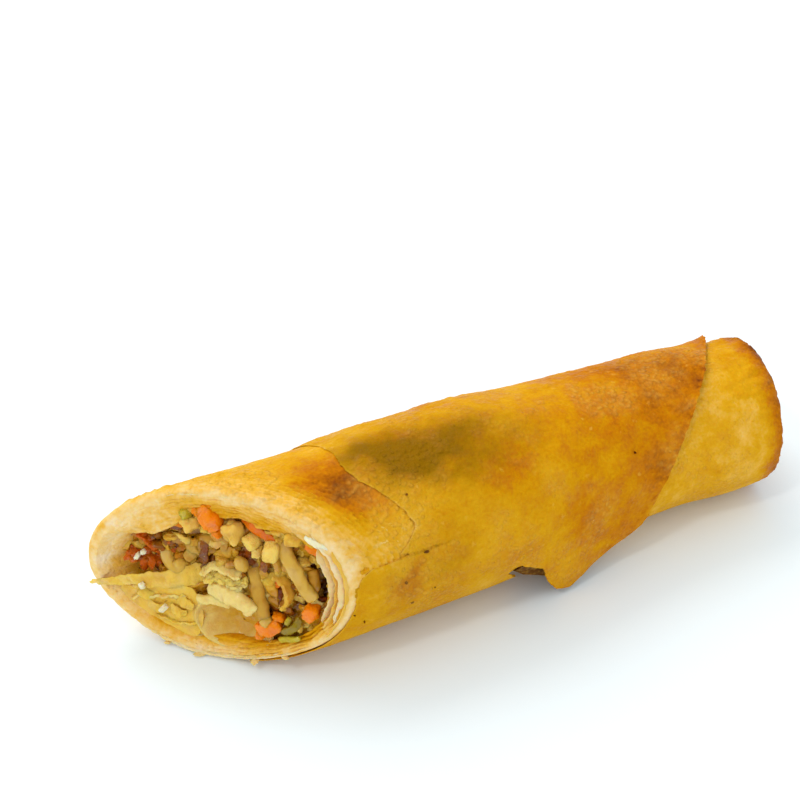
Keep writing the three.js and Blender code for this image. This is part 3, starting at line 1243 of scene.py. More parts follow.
@dataclass
class UnderTurn:
    """The turn below the last one, with the layered lip of the cut, the hollow and the folded end."""

    shop: Workshop
    inset: float = 0.5
    loose_inset: float = 0.62
    around: int = 256
    hollow_end: float = 86.0
    layer_pitch: float = 0.52
    # Where the strip of painted shade hangs behind the hanging corner.
    shade_tuck_from: float = 42.6
    shade_tuck_to: float = 56.0
    shade_tuck_angle: float = 204.0
    shade_tuck_thickness: float = 0.5
    relief: Relief = field(default_factory=lambda: Relief(47))

    @staticmethod
    def round_table(angle: Array, values: tuple[float, ...]) -> Array:
        """Smooth values set at every 45 degrees round the roll.

        Args:
            angle: angles round the roll.
            values: eight values, from the far side over the top.

        Returns:
            One value for each angle.
        """
        turn = np.asarray(angle) % 360 / 45
        low = np.floor(turn).astype(int) % 8
        share = smooth(turn - np.floor(turn), 0, 1)
        table = np.array(values)
        return mix(table[low], table[(low + 1) % 8], share)

    def wall(self, angle: Array) -> Array:
        """How thick the layered pastry is at the cut.

        Args:
            angle: angles round the roll.

        Returns:
            The thickness at each angle.
        """
        outline = [
            (0, 2.0), (15, 2.6), (25, 4.4), (34, 5.6), (45, 5.7), (55, 5.0), (65, 3.8), (75, 4.5),
            (85, 4.4), (95, 3.9), (105, 4.3), (118, 3.8), (128, 2.4), (142, 1.9), (157, 2.0),
            (178, 2.4), (218, 2.2), (254, 2.6), (280, 2.5), (310, 2.2), (335, 1.6), (360, 2.0),
        ]
        uneven = self.relief.rough(places(angle * ARC, 60.0), 2.4)
        return along(outline, np.asarray(angle) % 360) + 0.35 * uneven

    def lip(self, angle: Array) -> Array:
        """Radius of the soft outer edge of the cut."""
        return self.round_table(angle, (1.9, 1.5, 1.0, 0.5, 0.35, 0.35, 0.5, 1.3))

    def slope(self, angle: Array) -> Array:
        """How far the lip's inner edge lies behind its outer one."""
        return self.round_table(angle, (2.2, 0.5, 0.8, 0.4, 0.8, 1.2, 1.7, 2.8))

    def tip(self, angle: Array) -> Array:
        """How far the cut's far corner reaches past the cut's own plane."""
        return 1.2 * bump_round(angle, 10, 65)

    def depth(self, x: Array, angle: Array) -> Array:
        """How deep the turn lies under the last one, deepest behind the hanging corner."""
        plain = mix(self.inset, self.loose_inset, smooth(x, FORM.taper_from, FORM.taper_to))
        return plain + 0.9 * bump(angle, 212, 40) * bump(x, 47, 14)

    def flake_key(self, angle: Array, behind: Array) -> Array:
        """Counts the flaky terraces that follow the cut."""
        seat = places(angle * ARC, behind * 0.3)
        return behind / 1.1 + 1.1 * self.relief.rough(seat, 5.0)

    def shade_tuck(self) -> tuple[Array, Faces]:
        """A dark edge of the inner turn, tucked down behind the hanging corner and painted darkest brown as
        painted shade.

        Returns:
            Vertices and faces of a closed strip.
        """
        x = np.linspace(self.shade_tuck_from, self.shade_tuck_to, 50)
        top = FORM.surface(x, np.full_like(x, self.shade_tuck_angle), 1.2)
        foot = np.interp(x, [self.shade_tuck_from, 44.4, 49.3, 54.0], [6.4, 4.8, 1.9, 0.4])
        fall = np.linspace(0, 1, 14)
        seat = places(x[None] * 0.5, fall[:, None] * 4, 3.0)
        points = np.broadcast_to(top, (len(fall), len(x), 3)).copy()
        points[..., 1] += 0.9 * fall[:, None] ** 2 + 0.25 * self.relief.rough(seat, 2.0)
        points[..., 2] = mix(top[None, :, 2], foot[None], fall[:, None])
        keep = np.ones((len(fall) - 1, len(x) - 1), bool)
        vertices, faces, _ = thick_sheet(points, keep, self.shade_tuck_thickness, flip=True)
        return vertices, faces

    def face_rings(self, angles: Array) -> list[Array]:
        """The layered face of the cut, from its inner edge to its soft outer edge.

        Args:
            angles: the angles round a ring, in degrees.

        Returns:
            One ring of points for each step.
        """
        rings = []
        lip, wall, slope = self.lip(angles), self.wall(angles), self.slope(angles)
        for share in np.linspace(1, 0, 44):
            inset = self.inset + lip + share * (wall - lip)
            key = places(angles * ARC, 3.0 * inset)
            waver = 0.9 * self.relief.rough(places(angles * ARC, inset * 0.5), 4.5)
            phase = inset / self.layer_pitch + angles / 360 + waver
            ridge = np.abs(np.sin(math.pi * phase)) ** 0.6
            strength = 0.20 + 0.55 * smooth(np.abs((angles + 180) % 360 - 180), 25, 110)
            strength = strength * (0.55 + 0.8 * self.relief.soft(key + 9, 2.6))
            ragged = 0.45 * self.relief.rough(key * np.array([1, 0.5, 1]) + 3, 2.0)
            depth = slope * smooth(share, 0.15, 1.0) + strength * (0.8 - ridge)
            depth = depth + ragged * smooth(share, 0, 0.2)
            x = FORM.rim(angles, inset) + depth - self.tip(angles)
            rings.append(FORM.surface(x, angles, inset, 1.0))
        for turn in np.linspace(90, 0, 8, endpoint=False)[1:]:
            inset = self.inset + lip * (1 - math.cos(math.radians(turn)))
            depth = lip * (1 - math.sin(math.radians(turn)))
            seat = places(angles * ARC, inset)
            x = FORM.rim(angles, inset) + depth + 0.12 * self.relief.rough(seat, 1.2) - self.tip(angles)
            rings.append(FORM.surface(x, angles, inset, 1.0))
        return rings

    def hollow_rings(self, angles: Array) -> list[Array]:
        """The wall of the hollow, from its closed end to the lip's inner edge.

        Args:
            angles: the angles round a ring, in degrees.

        Returns:
            One ring of points for each step.
        """
        rings = []
        wall = self.inset + self.wall(angles)
        for x0 in np.concatenate([np.linspace(self.hollow_end, 8, 20), [5, 3, 1.6, 0.6]]):
            bias = FORM.slant_left(x0)
            thick = mix(wall, 1.9, smooth(x0, 0, 10))
            x = x0 + (FORM.rim(angles, wall) + self.slope(angles)) * bias
            close = 1 - 0.5 * smooth(x0, self.hollow_end - 10, self.hollow_end)
            ring = FORM.surface(x, angles, thick, 1.0)
            middle = np.stack([x, FORM.sway(x), np.full_like(x, FORM.middle)], -1)
            rings.append(mix(middle, ring, close))
        return rings

    def side_rings(self, angles: Array, body_end: float) -> list[Array]:
        """The outside of the turn, from the cut to the folded end.

        Args:
            angles: the angles round a ring, in degrees.
            body_end: place along X where the folded end's round starts.

        Returns:
            One ring of points for each station.
        """
        near_cut = np.linspace(0, 30, 62, endpoint=False)
        middle = np.linspace(30, 60, 16, endpoint=False)
        stations = np.concatenate([near_cut, middle, np.linspace(60, body_end, 66)])
        rings = []
        for x0, raise_by in zip(stations, 1 - smooth(stations, 45, 66)):
            bias = FORM.slant_left(x0)
            skew = FORM.end_skew * smooth(x0, body_end - 25, body_end) * np.cos(np.radians(angles))
            x = x0 + FORM.rim(angles, self.inset) * bias + skew + self.lip(angles) * (1 - smooth(x0, 0, 12))
            x = x - self.tip(angles) * (1 - smooth(x0, 0, 9))
            seat = places(x, angles * ARC)
            behind = x - FORM.rim(angles, self.inset)
            flaky = (1 - smooth(behind, 5, 13)) * smooth(behind, 0.0, 1.0)
            key = self.flake_key(angles, behind)
            terrace = (key % 1.0) ** 2 * (0.6 + 1.2 * self.relief.soft(seat + 17, 2.5))
            scales = 0.07 * self.relief.rough(seat, 1.2) + 0.08 * self.relief.blisters(seat, 2.2)
            scales = scales * (1 - 0.7 * bump(x, 22, 9) * bump(angles, 130, 46))
            flakes = 0.36 * np.clip(terrace, 0, 1) * flaky
            near_end = smooth(x0, body_end - 6, body_end)
            rim_bubbles = 0.14 * self.relief.blisters(seat, 1.7) + 0.20 * self.relief.rough(seat, 1.6)
            flare = 0.45 * smooth(x0, body_end - 12, body_end - 1)
            wrapped = smooth(angles, 156, 170) * (1 - smooth(angles, 258, 285))
            flakes = flakes * (1 - wrapped)
            rise = scales * (1 - 0.6 * wrapped) + flakes + rim_bubbles * near_end + flare
            rise = rise * (1 - 0.8 * bump(angles, 270, 50))
            rings.append(FORM.surface(x, angles, self.depth(x, angles) - rise, raise_by))
        return rings

    def end_fold(self, angles: Array) -> Array:
        """Rings of the folded end: a blistered rim, then tucked turns that spiral into a hollow.

        Args:
            angles: the angles round a ring, in degrees.

        Returns:
            Rings, shape (rings, around, 3).
        """
        reach = [0.35, 0.62, 0.84, 0.96, 1.0, 0.99]
        pull = [0.05, 0.18, 0.5, 0.9, 1.4, 1.9]
        rings = []
        length = FORM.folded_end
        centre = np.array([length, float(FORM.sway(length)), FORM.middle - 2.2])
        for r, p in zip(reach, pull):
            ring = FORM.surface(np.full_like(angles, length), angles, self.loose_inset - 0.45 + p, 0.2)
            ring[:, 0] = length - FORM.end_round * (1 - r)
            rings.append(ring)
        edge = rings[-1]
        turns = 3.2
        for share in np.linspace(0.06, 0.97, 30):
            ring = mix(edge, centre[None], share)
            fold = np.abs(np.sin(math.pi * (share * turns + angles / 360.0))) ** 0.7
            dish = 2.8 * smooth(share, 0.0, 0.9)
            crest = 1.2 * (fold - 0.6) * smooth(share, 0.02, 0.2) * (1 - smooth(share, 0.85, 1))
            ring[:, 0] = edge[:, 0] - dish + crest
            rings.append(ring)
        stack = np.array(rings)
        skew = FORM.end_skew * np.cos(np.radians(angles))
        stack[..., 0] += skew[None] * np.linspace(1, 0.4, len(stack))[:, None]
        seat = stack * np.array([2, 1, 1])
        outward = places(0.6, np.cos(np.radians(angles)), np.sin(np.radians(angles)))
        lumps = 0.14 * self.relief.blisters(seat, 1.7) + 0.20 * self.relief.rough(seat, 1.6)
        grow = np.linspace(1, 0.4, len(stack))[:, None]
        stack = stack + (lumps * grow)[..., None] * outward[None]
        stack[..., 2] = np.maximum(stack[..., 2], 0.0)
        return stack

    def build(self, finish: bpy.types.Material) -> bpy.types.Object:
        """Make the turn.

        Args:
            finish: the pastry's material.

        Returns:
            The piece.
        """
        angles = np.linspace(0, 360, self.around, endpoint=False)
        body_end = FORM.folded_end - FORM.end_round
        rings = self.hollow_rings(angles) + self.face_rings(angles) + self.side_rings(angles, body_end)
        vertices, faces = closed_rings(np.concatenate([np.array(rings), self.end_fold(angles)]))
        vertices[:, 2] = np.maximum(vertices[:, 2], 0.0)
        mass = Mass()
        toast, olive = self.paint(vertices)
        mass.add(vertices, faces, toast=toast, olive=olive)
        vertices, faces = self.shade_tuck()
        # Painted shade: the tucked strip is painted darkest brown.
        mass.add(vertices, faces, toast=1.2, olive=0.0)
        piece = self.shop.make("under_turn", mass, finish, "fried_pastry")
        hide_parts("pastry_wrapper")
        return piece

    def paint(self, p: Array) -> tuple[Array, Array]:
        """How brown and how olive each point is.

        Args:
            p: the points.

        Returns:
            Toast and olive, from 0 to 1.
        """
        angle = np.degrees(np.arctan2(p[:, 2] - FORM.middle, p[:, 1])) % 360
        x = p[:, 0]
        behind = x - FORM.cut(p[:, 1], p[:, 2])
        half = FORM.width(x) / 2
        aside, up = (p[:, 1] - FORM.sway(x)) / half, (p[:, 2] - FORM.middle) / (half * FORM.squat)
        inward = (1 - np.hypot(aside, up)) * half
        t = 0.42 + 0.05 * self.relief.rough(p, 6.0)
        t -= 0.24 * np.exp(-np.maximum(behind - 0.3, 0) / 2.4)
        streak = self.flake_key(angle, behind) % 1.0
        t -= 0.10 * (streak - 0.5) * (1 - smooth(behind, 6, 12)) * smooth(behind, 0.5, 2)
        # Painted shade: much darker behind the hanging corner, where the notch lies in shadow.
        t += 0.62 * bump(angle, 214, 44) * bump(x, 47, 14)
        patch = np.exp(-(((x - 18.0) / 7.0) ** 2)) * bump(angle, 108, 44)
        t += 0.46 * patch * smooth(behind, 2.5, 8.0)
        t += 0.05 * bump(angle, 60, 40) * smooth(behind, 4, 16)
        cut_side = (x < 45) & (behind < 9)
        layer = self.relief.rough(places(angle * ARC, inward * 2.2, behind * 0.4), 2.0)
        curtain = bump_round(angle, 42, 50)
        t += cut_side * ((0.22 - 0.20 * curtain) * smooth(inward, 0.9, 3.4) + 0.10 * layer)
        t += cut_side * 0.12 * smooth(inward, 2.4, 4.5) * bump_round(angle, 0, 75)
        # Painted shade: the near side of the face darkens behind its outer layers, in the gaps between the
        # loose leaves.
        t += cut_side * 0.20 * bump(angle, 180, 60) * smooth(inward, 0.5, 1.4)
        scoop = bump_round(angle, -5, 60) * smooth(inward, 1.2, 2.4)
        t -= cut_side * 0.20 * scoop
        outside = 1 - smooth(inward, 0.75, 1.0)
        # Painted shade: a darker band on the outside of the underside, just behind the cut.
        t += 0.30 * bump(angle, 262, 62) * outside * smooth(behind, 0.8, 3.0) * (1 - smooth(x, 10, 30))
        right = smooth(x, 62, 72)
        t = mix(t, 0.43 + 0.09 * self.relief.rough(p, 4.0), right)
        skew = FORM.end_skew * p[:, 1] / (FORM.slim_width / 2)
        t += 0.32 * smooth(x - skew, FORM.length - 4.5, FORM.length + 0.4)
        t += 0.10 * bump(angle, 80, 40) * right
        inside = (inward > 3.4) & (x > FORM.length - 5)
        t = np.where(inside, t - 0.16 * smooth(inward, 4, 9), t)
        return np.clip(t, 0.02, 1), np.zeros_like(t)


@dataclass(frozen=True)
class Leaf:
    """One loose leaf of pastry at the cut."""

    angle_from: float
    angle_to: float
    inset: float
    back: float
    length: float = 6.0
    thickness: float = 0.34
    toast: float = 0.12
    ragged: float = 0.3
    waver: float = 0.25


@dataclass
class RimTurns:
    """Loose inner turns at the cut: soft, pale leaves with ragged edges."""

    shop: Workshop
    # Each leaf: from and to angle, inset, back, length, thickness, toast, ragged, waver.
    leaves: tuple[Leaf, ...] = (
        Leaf(128, 216, 0.70, -0.60, 4.0, 0.34, 0.30, 0.22, 0.06),
        Leaf(116, 205, 1.10, -0.85, 6.0, 0.38, 0.07, 0.30, 0.28),
        Leaf(122, 212, 1.70, -0.50, 7.0, 0.26, 0.26, 0.35, 0.30),
        Leaf(128, 206, 2.25, -0.55, 7.0, 0.36, 0.10, 0.30, 0.32),
        Leaf(146, 200, 2.85, 0.20, 7.0, 0.26, 0.32, 0.35, 0.30),
        Leaf(200, 300, 0.75, -0.45, 2.5, 0.26, 0.08, 0.40, 0.06),
        Leaf(208, 322, 1.00, -0.10, 4.0, 0.26, 0.12, 0.40, 0.12),
        Leaf(215, 340, 1.25, 0.35, 5.0, 0.28, 0.15, 0.40),
        Leaf(228, 345, 1.75, 0.90, 6.0, 0.26, 0.20, 0.40),
        Leaf(236, 330, 2.30, 1.50, 6.0, 0.30, 0.22, 0.40),
        Leaf(28, 112, 1.25, 0.05, 4.0, 0.26, 0.10, 0.25),
        Leaf(52, 132, 1.75, 0.25, 5.0, 0.30, 0.14, 0.30),
        Leaf(62, 138, 2.35, 0.55, 6.0, 0.30, 0.18, 0.35),
    )
    relief: Relief = field(default_factory=lambda: Relief(59))

    def build(self, finish: bpy.types.Material) -> bpy.types.Object:
        """Make the leaves.

        Args:
            finish: the soft pastry's material.

        Returns:
            The piece.
        """
        mass = Mass()
        for number, leaf in enumerate(self.leaves):
            angles = np.arange(leaf.angle_from, leaf.angle_to, 1.0)
            front = np.linspace(0, 1.4, 9, endpoint=False)
            run = np.concatenate([front, np.linspace(1.4, leaf.length, 9)])
            key = places(angles * ARC, 7.0 * number)
            share = (angles - leaf.angle_from) / (leaf.angle_to - leaf.angle_from)
            fade = 2.4 * (1 - smooth(np.minimum(share, 1 - share), 0.0, 0.22))
            tears = self.relief.rough(key + 40, 2.6) + 0.6 * self.relief.rough(key + 80, 0.8)
            back = leaf.back + fade + leaf.ragged * tears
            sway = self.relief.rough(key, 4.0) + 0.3 * self.relief.soft(key, 1.3)
            inset = leaf.inset + leaf.waver * sway
            fold = places(angles[:, None] * ARC, run[None] * 0.7, 9.0 * number)
            shape = inset[:, None] + 0.12 * self.relief.rough(fold, 1.9) + 0.05 * run[None]
            x = FORM.rim(angles, leaf.inset)[:, None] + back[:, None] + run[None]
            points = FORM.surface(x, angles[:, None], shape, 1.0)
            thin = 0.45 + 0.55 * smooth(run, 0.0, 0.7)[None]
            thick = leaf.thickness * thin * (1 + 0.35 * self.relief.rough(key + 20, 3.0))[:, None]
            keep = np.ones((len(angles) - 1, len(run) - 1), bool)
            vertices, faces, source = thick_sheet(points, keep, thick, flip=True)
            tint = leaf.toast + 0.08 * self.relief.rough(key + 60, 3.0)
            toast = np.clip(tint[:, None] + 0.30 * smooth(run[None], 0.3, 3.5), 0.01, 1)
            mass.add(vertices, faces, toast=toast.ravel()[source], olive=0.0)
        piece = self.shop.make("rim_turns", mass, finish, "fried_pastry")
        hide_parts("pastry_wrapper")
        return piece


# ---------------------------------------------------------------- filling
@dataclass
class FillingCore:
    """The dark, packed mass behind the pieces that show at the cut, with painted shade in its pits."""

    shop: Workshop
    wall: float = 2.6
    set_back: float = 2.0
    lump: float = 1.0
    around: int = 220
    end: float = 84.0
    face_stretch: float = 1.04
    depth_along_x: float = 1.35
    # Each pit: place across and up on the cut, extra depth, radius.
    pits: tuple[tuple[float, float, float, float], ...] = (
        (-0.9, 0.4, 3.0, 2.6), (6.2, -0.6, 3.0, 2.2), (-10.6, 1.0, 2.0, 2.6), (13.0, 0.0, 2.4, 1.8),
        (-6.0, 2.6, 1.8, 2.0), (2.4, -9.0, 5.0, 4.4), (11.2, 3.4, 1.8, 2.2), (3.0, 5.2, 1.4, 1.8),
        (10.4, -1.6, 2.2, 1.8), (-13.0, -1.0, 1.4, 2.6), (7.2, 1.6, 1.8, 1.6),
    )
    relief: Relief = field(default_factory=lambda: Relief(71))

    def on_cut(self, points: Array) -> tuple[Array, Array]:
        """Where points lie on the cut: towards the near side, and up."""
        return -points[:, 1] * math.sqrt(2), (points[:, 2] - FORM.middle) * self.face_stretch

    def hollowed(self, across: Array, up: Array) -> Array:
        """How much deeper the pits make the mass at each place of the cut."""
        dips = [e * np.exp(-(((across - s) ** 2 + (up - t) ** 2) / r**2)) for s, t, e, r in self.pits]
        return np.sum(dips, axis=0)

    def depth(self, across: Array, up: Array) -> Array:
        """How far the mass lies behind the cut, deeper at the pits.

        Args:
            across: places towards the near side.
            up: places above the middle.

        Returns:
            The depth at each place.
        """
        seat = places(across, up)
        deep = self.set_back + self.lump * self.relief.rough(seat, 2.8)
        deep = deep + 0.55 * self.relief.rough(seat, 0.9)
        deep = deep - 0.8 * self.relief.blisters(seat, 2.2) - 0.35 * self.relief.blisters(seat + 40, 1.1)
        return deep + self.hollowed(across, up) + 1.6 * smooth(-across, 8, 15)

    def build(self) -> bpy.types.Object:
        """Make the core.

        Returns:
            The piece, which stands for the whole filling.
        """
        angles = np.linspace(0, 360, self.around, endpoint=False)
        rings = []
        for share in np.linspace(0.02, 1, 74):
            edge = FORM.surface(np.zeros_like(angles), angles, self.wall, 1.0)
            middle = np.array([0.0, 0.0, FORM.middle])
            ring = mix(middle[None], edge, share)
            behind = self.depth(*self.on_cut(ring)) * self.depth_along_x
            ring[:, 0] = FORM.cut(ring[:, 1], ring[:, 2]) + behind
            rings.append(ring)
        for x0 in np.linspace(11, self.end, 20):
            bias = FORM.slant_left(x0)
            x = x0 + FORM.rim(angles, self.wall) * bias
            close = 1 - 0.5 * smooth(x0, self.end - 10, self.end)
            ring = FORM.surface(x, angles, self.wall, 1.0)
            middle = np.stack([x, FORM.sway(x), np.full_like(x, FORM.middle)], -1)
            rings.append(mix(middle, ring, close))
        vertices, faces = closed_rings(np.array(rings))
        mass = Mass()
        # Painted shade: the pits are painted towards the near-black second tone.
        pit_shade = 0.42 * self.hollowed(*self.on_cut(vertices))
        tone = 0.22 + 0.45 * self.relief.rough(vertices, 2.0) + pit_shade
        mass.add(vertices, faces, tone=tone)
        piece = self.shop.make("filling_core", mass, Food.MASH.dressed(), "cooked_filling", 180)
        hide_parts("filling")
        return piece


@dataclass
class FillingPieces:
    """Vegetables, noodles and crumbs that show at the cut, one joined mesh for each kind."""

    shop: Workshop
    relief: Relief = field(default_factory=lambda: Relief(83))
    heaps: dict[Food, Mass] = field(default_factory=dict)

    def heap(self, kind: Food) -> Mass:
        """The joined shape of one kind."""
        return self.heaps.setdefault(kind, Mass())

    def strand(
        self, kind: Food, route: list[Place], width: float, height: float, power: float = 2.4,
        tone: float = -0.1, taper: float = 0.0, rough: float = 0.14,
    ) -> None:
        """Lay a noodle, strip or stick.

        Args:
            kind: what it is.
            route: across, up and depth on the cut, for each point it passes.
            width: its width.
            height: its height.
            power: 2 for a round section, more for a squarer one.
            tone: 0 for its first tone, 1 for its second.
            taper: share by which it slims to its far end.
            rough: how uneven its surface is, in millimetres.
        """
        line = through(route, 10 * len(route))
        path = FORM.face(line[:, 0], line[:, 1], line[:, 2])
        wobble = np.stack([self.relief.soft(path + k * 9, 2.4) for k in range(3)], -1)
        path = path + 0.18 * wobble
        slim = 1 - taper * np.linspace(0, 1, len(path))
        broad = slim * (1 + 0.16 * self.relief.rough(path, 2.2, 2))
        tall = slim * (1 + 0.16 * self.relief.rough(path + 30, 2.2, 2))
        normal = FORM.face(0.0, 0.0, 1.0) - FORM.face(0.0, 0.0, 0.0)
        twist = normal + 0.5 * wobble.mean(0)
        points, faces = swept(path, width * broad, height * tall, twist, power, 18)
        push = np.stack([self.relief.rough(points + 13 * k, 1.0, 3) for k in range(3)], -1)
        points = points + 1.3 * rough * push
        self.heap(kind).add(points, faces, tone=tone + 0.25 * self.relief.soft(points, 2.0))

    def bit(
        self, kind: Food, across: float, up: float, depth: float, size: Place, turn: float = 0.2,
        tone: float = 0.0, rough: float = 0.35, power: float = 4.0,
    ) -> None:
        """Set one uneven bit on the cut.

        Args:
            kind: what it is.
            across: place towards the near side.
            up: place above the middle.
            depth: how far behind the cut.
            size: its full sizes.
            turn: its spin, in radians.
            tone: 0 for its first tone, 1 for its second.
            rough: how uneven it is.
            power: 2 for a round bit, more for a blockier one.
        """
        centre = FORM.face(across, up, depth)
        points, faces = lump(centre, size, self.relief, turn, rough, power)
        self.heap(kind).add(points, faces, tone=tone + 0.2 * self.relief.soft(points, 1.5))

    def crumble(
        self, kind: Food, across: float, up: float, depth: float, reach: tuple[float, float],
        number: int, size: tuple[float, float], seed: int, tone: float = 0.5,
    ) -> None:
        """Set a loose cluster of small bits.

        Args:
            kind: what it is.
            across: middle of the cluster, towards the near side.
            up: middle of the cluster, above the middle of the cut.
            depth: how far behind the cut.
            reach: half sizes of the cluster, across and up.
            number: how many bits.
            size: smallest and largest bit.
            seed: picks the arrangement.
            tone: 0 for its first tone, 1 for its second.
        """
        rng = np.random.default_rng(seed)
        for _ in range(number):
            turn, radius = rng.uniform(0, 2 * math.pi), math.sqrt(rng.random())
            s = across + reach[0] * radius * math.cos(turn)
            t = up + reach[1] * radius * math.sin(turn)
            d = depth + 1.3 * radius**2 + rng.uniform(-0.4, 0.5)
            sizes = rng.uniform(size[0], size[1], 3) * np.array([1.0, 1.0, 0.8])
            turn, shade = rng.uniform(0, 3), tone + rng.uniform(-0.25, 0.3)
            self.bit(kind, s, t, d, tuple(sizes), turn, shade, rough=0.4, power=3.0)

    def leaf(
        self, kind: Food, route: list[tuple[float, float]], near: float, far: float,
        thickness: tuple[float, float], ruffle: float = 0.5, tone: float = 0.1,
    ) -> None:
        """Set a folded leaf that runs back into the roll.

        Args:
            kind: what it is.
            route: across and up of its edge on the cut.
            near: depth of its front edge.
            far: depth of its back edge.
            thickness: at the route's start and at its end.
            ruffle: how wavy it is.
            tone: 0 for its first tone, 1 for its second.
        """
        line = through(route, 12 * len(route))
        depth = np.linspace(near, far, 16)
        squeeze = 1 - 0.05 * (depth - near)[None]
        middle = line.mean(0)
        across = middle[0] + (line[:, :1] - middle[0]) * squeeze
        up = middle[1] + (line[:, 1:] - middle[1]) * squeeze
        seat = places(across, up, depth[None])
        front = 0.6 * self.relief.rough(seat * np.array([1, 1, 0]), 1.6)
        front = front * np.exp(-(depth - near)[None] / 1.5)
        points = FORM.face(across, up, depth[None] + front)
        points = points + (ruffle * self.relief.rough(points, 2.2))[..., None] * np.array([0.3, 0.5, 0.8])
        keep = np.ones((len(line) - 1, len(depth) - 1), bool)
        slab = np.linspace(*thickness, len(line))[:, None] * np.ones_like(across)
        slab = slab * (0.55 + 0.45 * smooth((depth - near)[None], 0.0, 1.0))
        vertices, faces, _ = thick_sheet(points, keep, slab)
        vertices = vertices + 0.07 * self.relief.rough(vertices, 0.8)[:, None]
        self.heap(kind).add(vertices, faces, tone=tone + 0.35 * self.relief.soft(vertices, 2.0))

    def bowl(
        self, kind: Food, brim: list[Place], centre: Place, thickness: float, tone: float = 0.2
    ) -> None:
        """Set a cupped leaf with its hollow side to the cut.

        Args:
            kind: what it is.
            brim: across, up and depth of its edge, in order round it.
            centre: across, up and depth of the hollow's deepest place.
            thickness: how thick it is.
            tone: 0 for its first tone, 1 for its second.
        """
        steps = 12
        loop = through([brim[-1], *brim, brim[0], brim[1]], steps * (len(brim) + 2))
        loop = loop[steps:-steps]
        out = np.linspace(0.03, 1, 20)
        flat = mix(np.array(centre)[None, None, :2], loop[:, None, :2], out[None, :, None])
        depth = mix(centre[2], loop[:, None, 2], out[None] ** 2.2)
        seat = places(flat[..., 0], flat[..., 1], depth)
        depth = depth + 0.22 * self.relief.rough(seat, 2.0)
        points = FORM.face(flat[..., 0], flat[..., 1], depth)
        keep = np.ones((len(loop), len(out) - 1), bool)
        slab = thickness * (0.5 + 0.5 * smooth(1 - out, 0.0, 0.15))[None] * np.ones_like(depth)
        towards = FORM.face(0.0, 0.0, 0.0) - FORM.face(0.0, 0.0, 1.0)
        flip = bool((grid_normals(points, True).mean((0, 1)) @ towards) < 0)
        vertices, faces, source = thick_sheet(points, keep, slab, wrap=True, flip=flip)
        # Painted shade: the tone rises towards the hollow's deepest place.
        hollow_shade = 1.4 * (1 - out[source % len(out)]) ** 0.8 * min(1.0, 0.35 * (centre[2] - brim[0][2]))
        self.heap(kind).add(vertices, faces, tone=tone + hollow_shade + 0.3 * self.relief.soft(vertices, 3.0))

    def place_carrots(self) -> None:
        """Set the carrot pieces."""
        carrot = Food.CARROT
        self.strand(carrot, [(-2.8, 10.6, 0.7), (-1.4, 9.3, 0.2), (0.0, 7.7, 0.7)],
            width=2.3, height=1.8, power=5.0, tone=0.1, taper=-0.1, rough=0.2)
        self.bit(carrot, -3.2, 9.8, 0.6, size=(1.5, 1.3, 1.3), turn=0.3, rough=0.45)
        self.bit(carrot, -1.6, 10.9, 0.6, size=(1.3, 1.1, 1.2), turn=0.9, rough=0.45)
        self.bit(carrot, -0.2, 6.9, 0.9, size=(1.6, 1.5, 1.4), turn=0.5, tone=0.3, rough=0.4)
        self.strand(carrot, [(3.4, 10.0, 2.0), (5.8, 8.8, 1.1), (8.8, 7.2, 1.4)],
            width=1.7, height=1.3, power=5.0, tone=0.75, taper=0.2, rough=0.12)
        self.strand(carrot, [(6.2, -7.6, 0.9), (8.2, -7.1, 0.5), (9.6, -6.0, 0.8)],
            width=2.4, height=1.9, power=5.0, tone=0.05, taper=0.2, rough=0.16)
        self.bit(carrot, 6.8, -8.6, 0.6, size=(1.5, 1.4, 1.2), turn=0.5)
        self.bit(carrot, 9.3, -5.2, 1.2, size=(1.6, 1.8, 1.3), turn=0.9, tone=0.2)
        self.bit(carrot, 14.6, -1.9, 0.2, size=(2.6, 2.3, 2.0), turn=0.7, rough=0.3, power=4.5)
        self.bit(carrot, 13.9, -3.0, 0.5, size=(1.4, 1.4, 1.2), power=4.5)
        self.strand(carrot, [(13.0, 8.5, 0.7), (16.6, 7.2, 0.6)],
            width=1.2, height=0.9, power=4.0, tone=0.1, rough=0.12)
        self.bit(carrot, 9.2, 8.0, 1.6, size=(1.3, 1.2, 1.0), tone=0.4)
        self.bit(carrot, 10.2, -3.4, 2.6, size=(1.4, 1.2, 1.0), tone=0.6)

    def place_noodles(self) -> None:
        """Set the noodles."""
        noodle = Food.NOODLE
        self.bit(noodle, 3.6, 2.7, 0.6, size=(2.1, 2.0, 2.9), turn=0.3, tone=-0.5, rough=0.14, power=2.2)
        self.strand(noodle, [(9.4, 8.6, 1.8), (10.4, 6.4, 0.5), (12.4, 3.2, 0.1), (14.9, -0.3, 0.4)],
            width=2.1, height=1.3, power=2.6)
        self.strand(noodle, [(3.9, 4.0, 4.0), (5.2, 0.6, 2.0), (6.5, -3.0, 0.9), (7.7, -6.2, 0.6)],
            width=1.9, height=1.5, tone=0.5, rough=0.12)
        self.bit(noodle, 7.7, -6.0, 0.5, size=(2.2, 2.0, 1.8), turn=0.4, tone=0.1, rough=0.2, power=2.4)
        self.strand(noodle, [(-9.4, 1.6, 2.6), (-7.4, -0.9, 1.3), (-5.4, 0.1, 1.4)],
            width=2.2, height=2.0, tone=0.1)
        self.strand(noodle, [(-5.6, 0.4, 1.8), (-4.2, 2.0, 2.2)], width=2.0, height=1.8, tone=0.3)
        self.strand(noodle, [(-4.6, 3.4, 3.2), (-1.6, 4.6, 2.2), (1.6, 3.9, 2.8)],
            width=2.0, height=1.7, tone=0.75)
        self.strand(noodle, [(14.0, 4.2, 1.6), (14.6, 1.6, 1.2), (13.2, -1.0, 1.8)],
            width=1.7, height=1.4, tone=0.8)

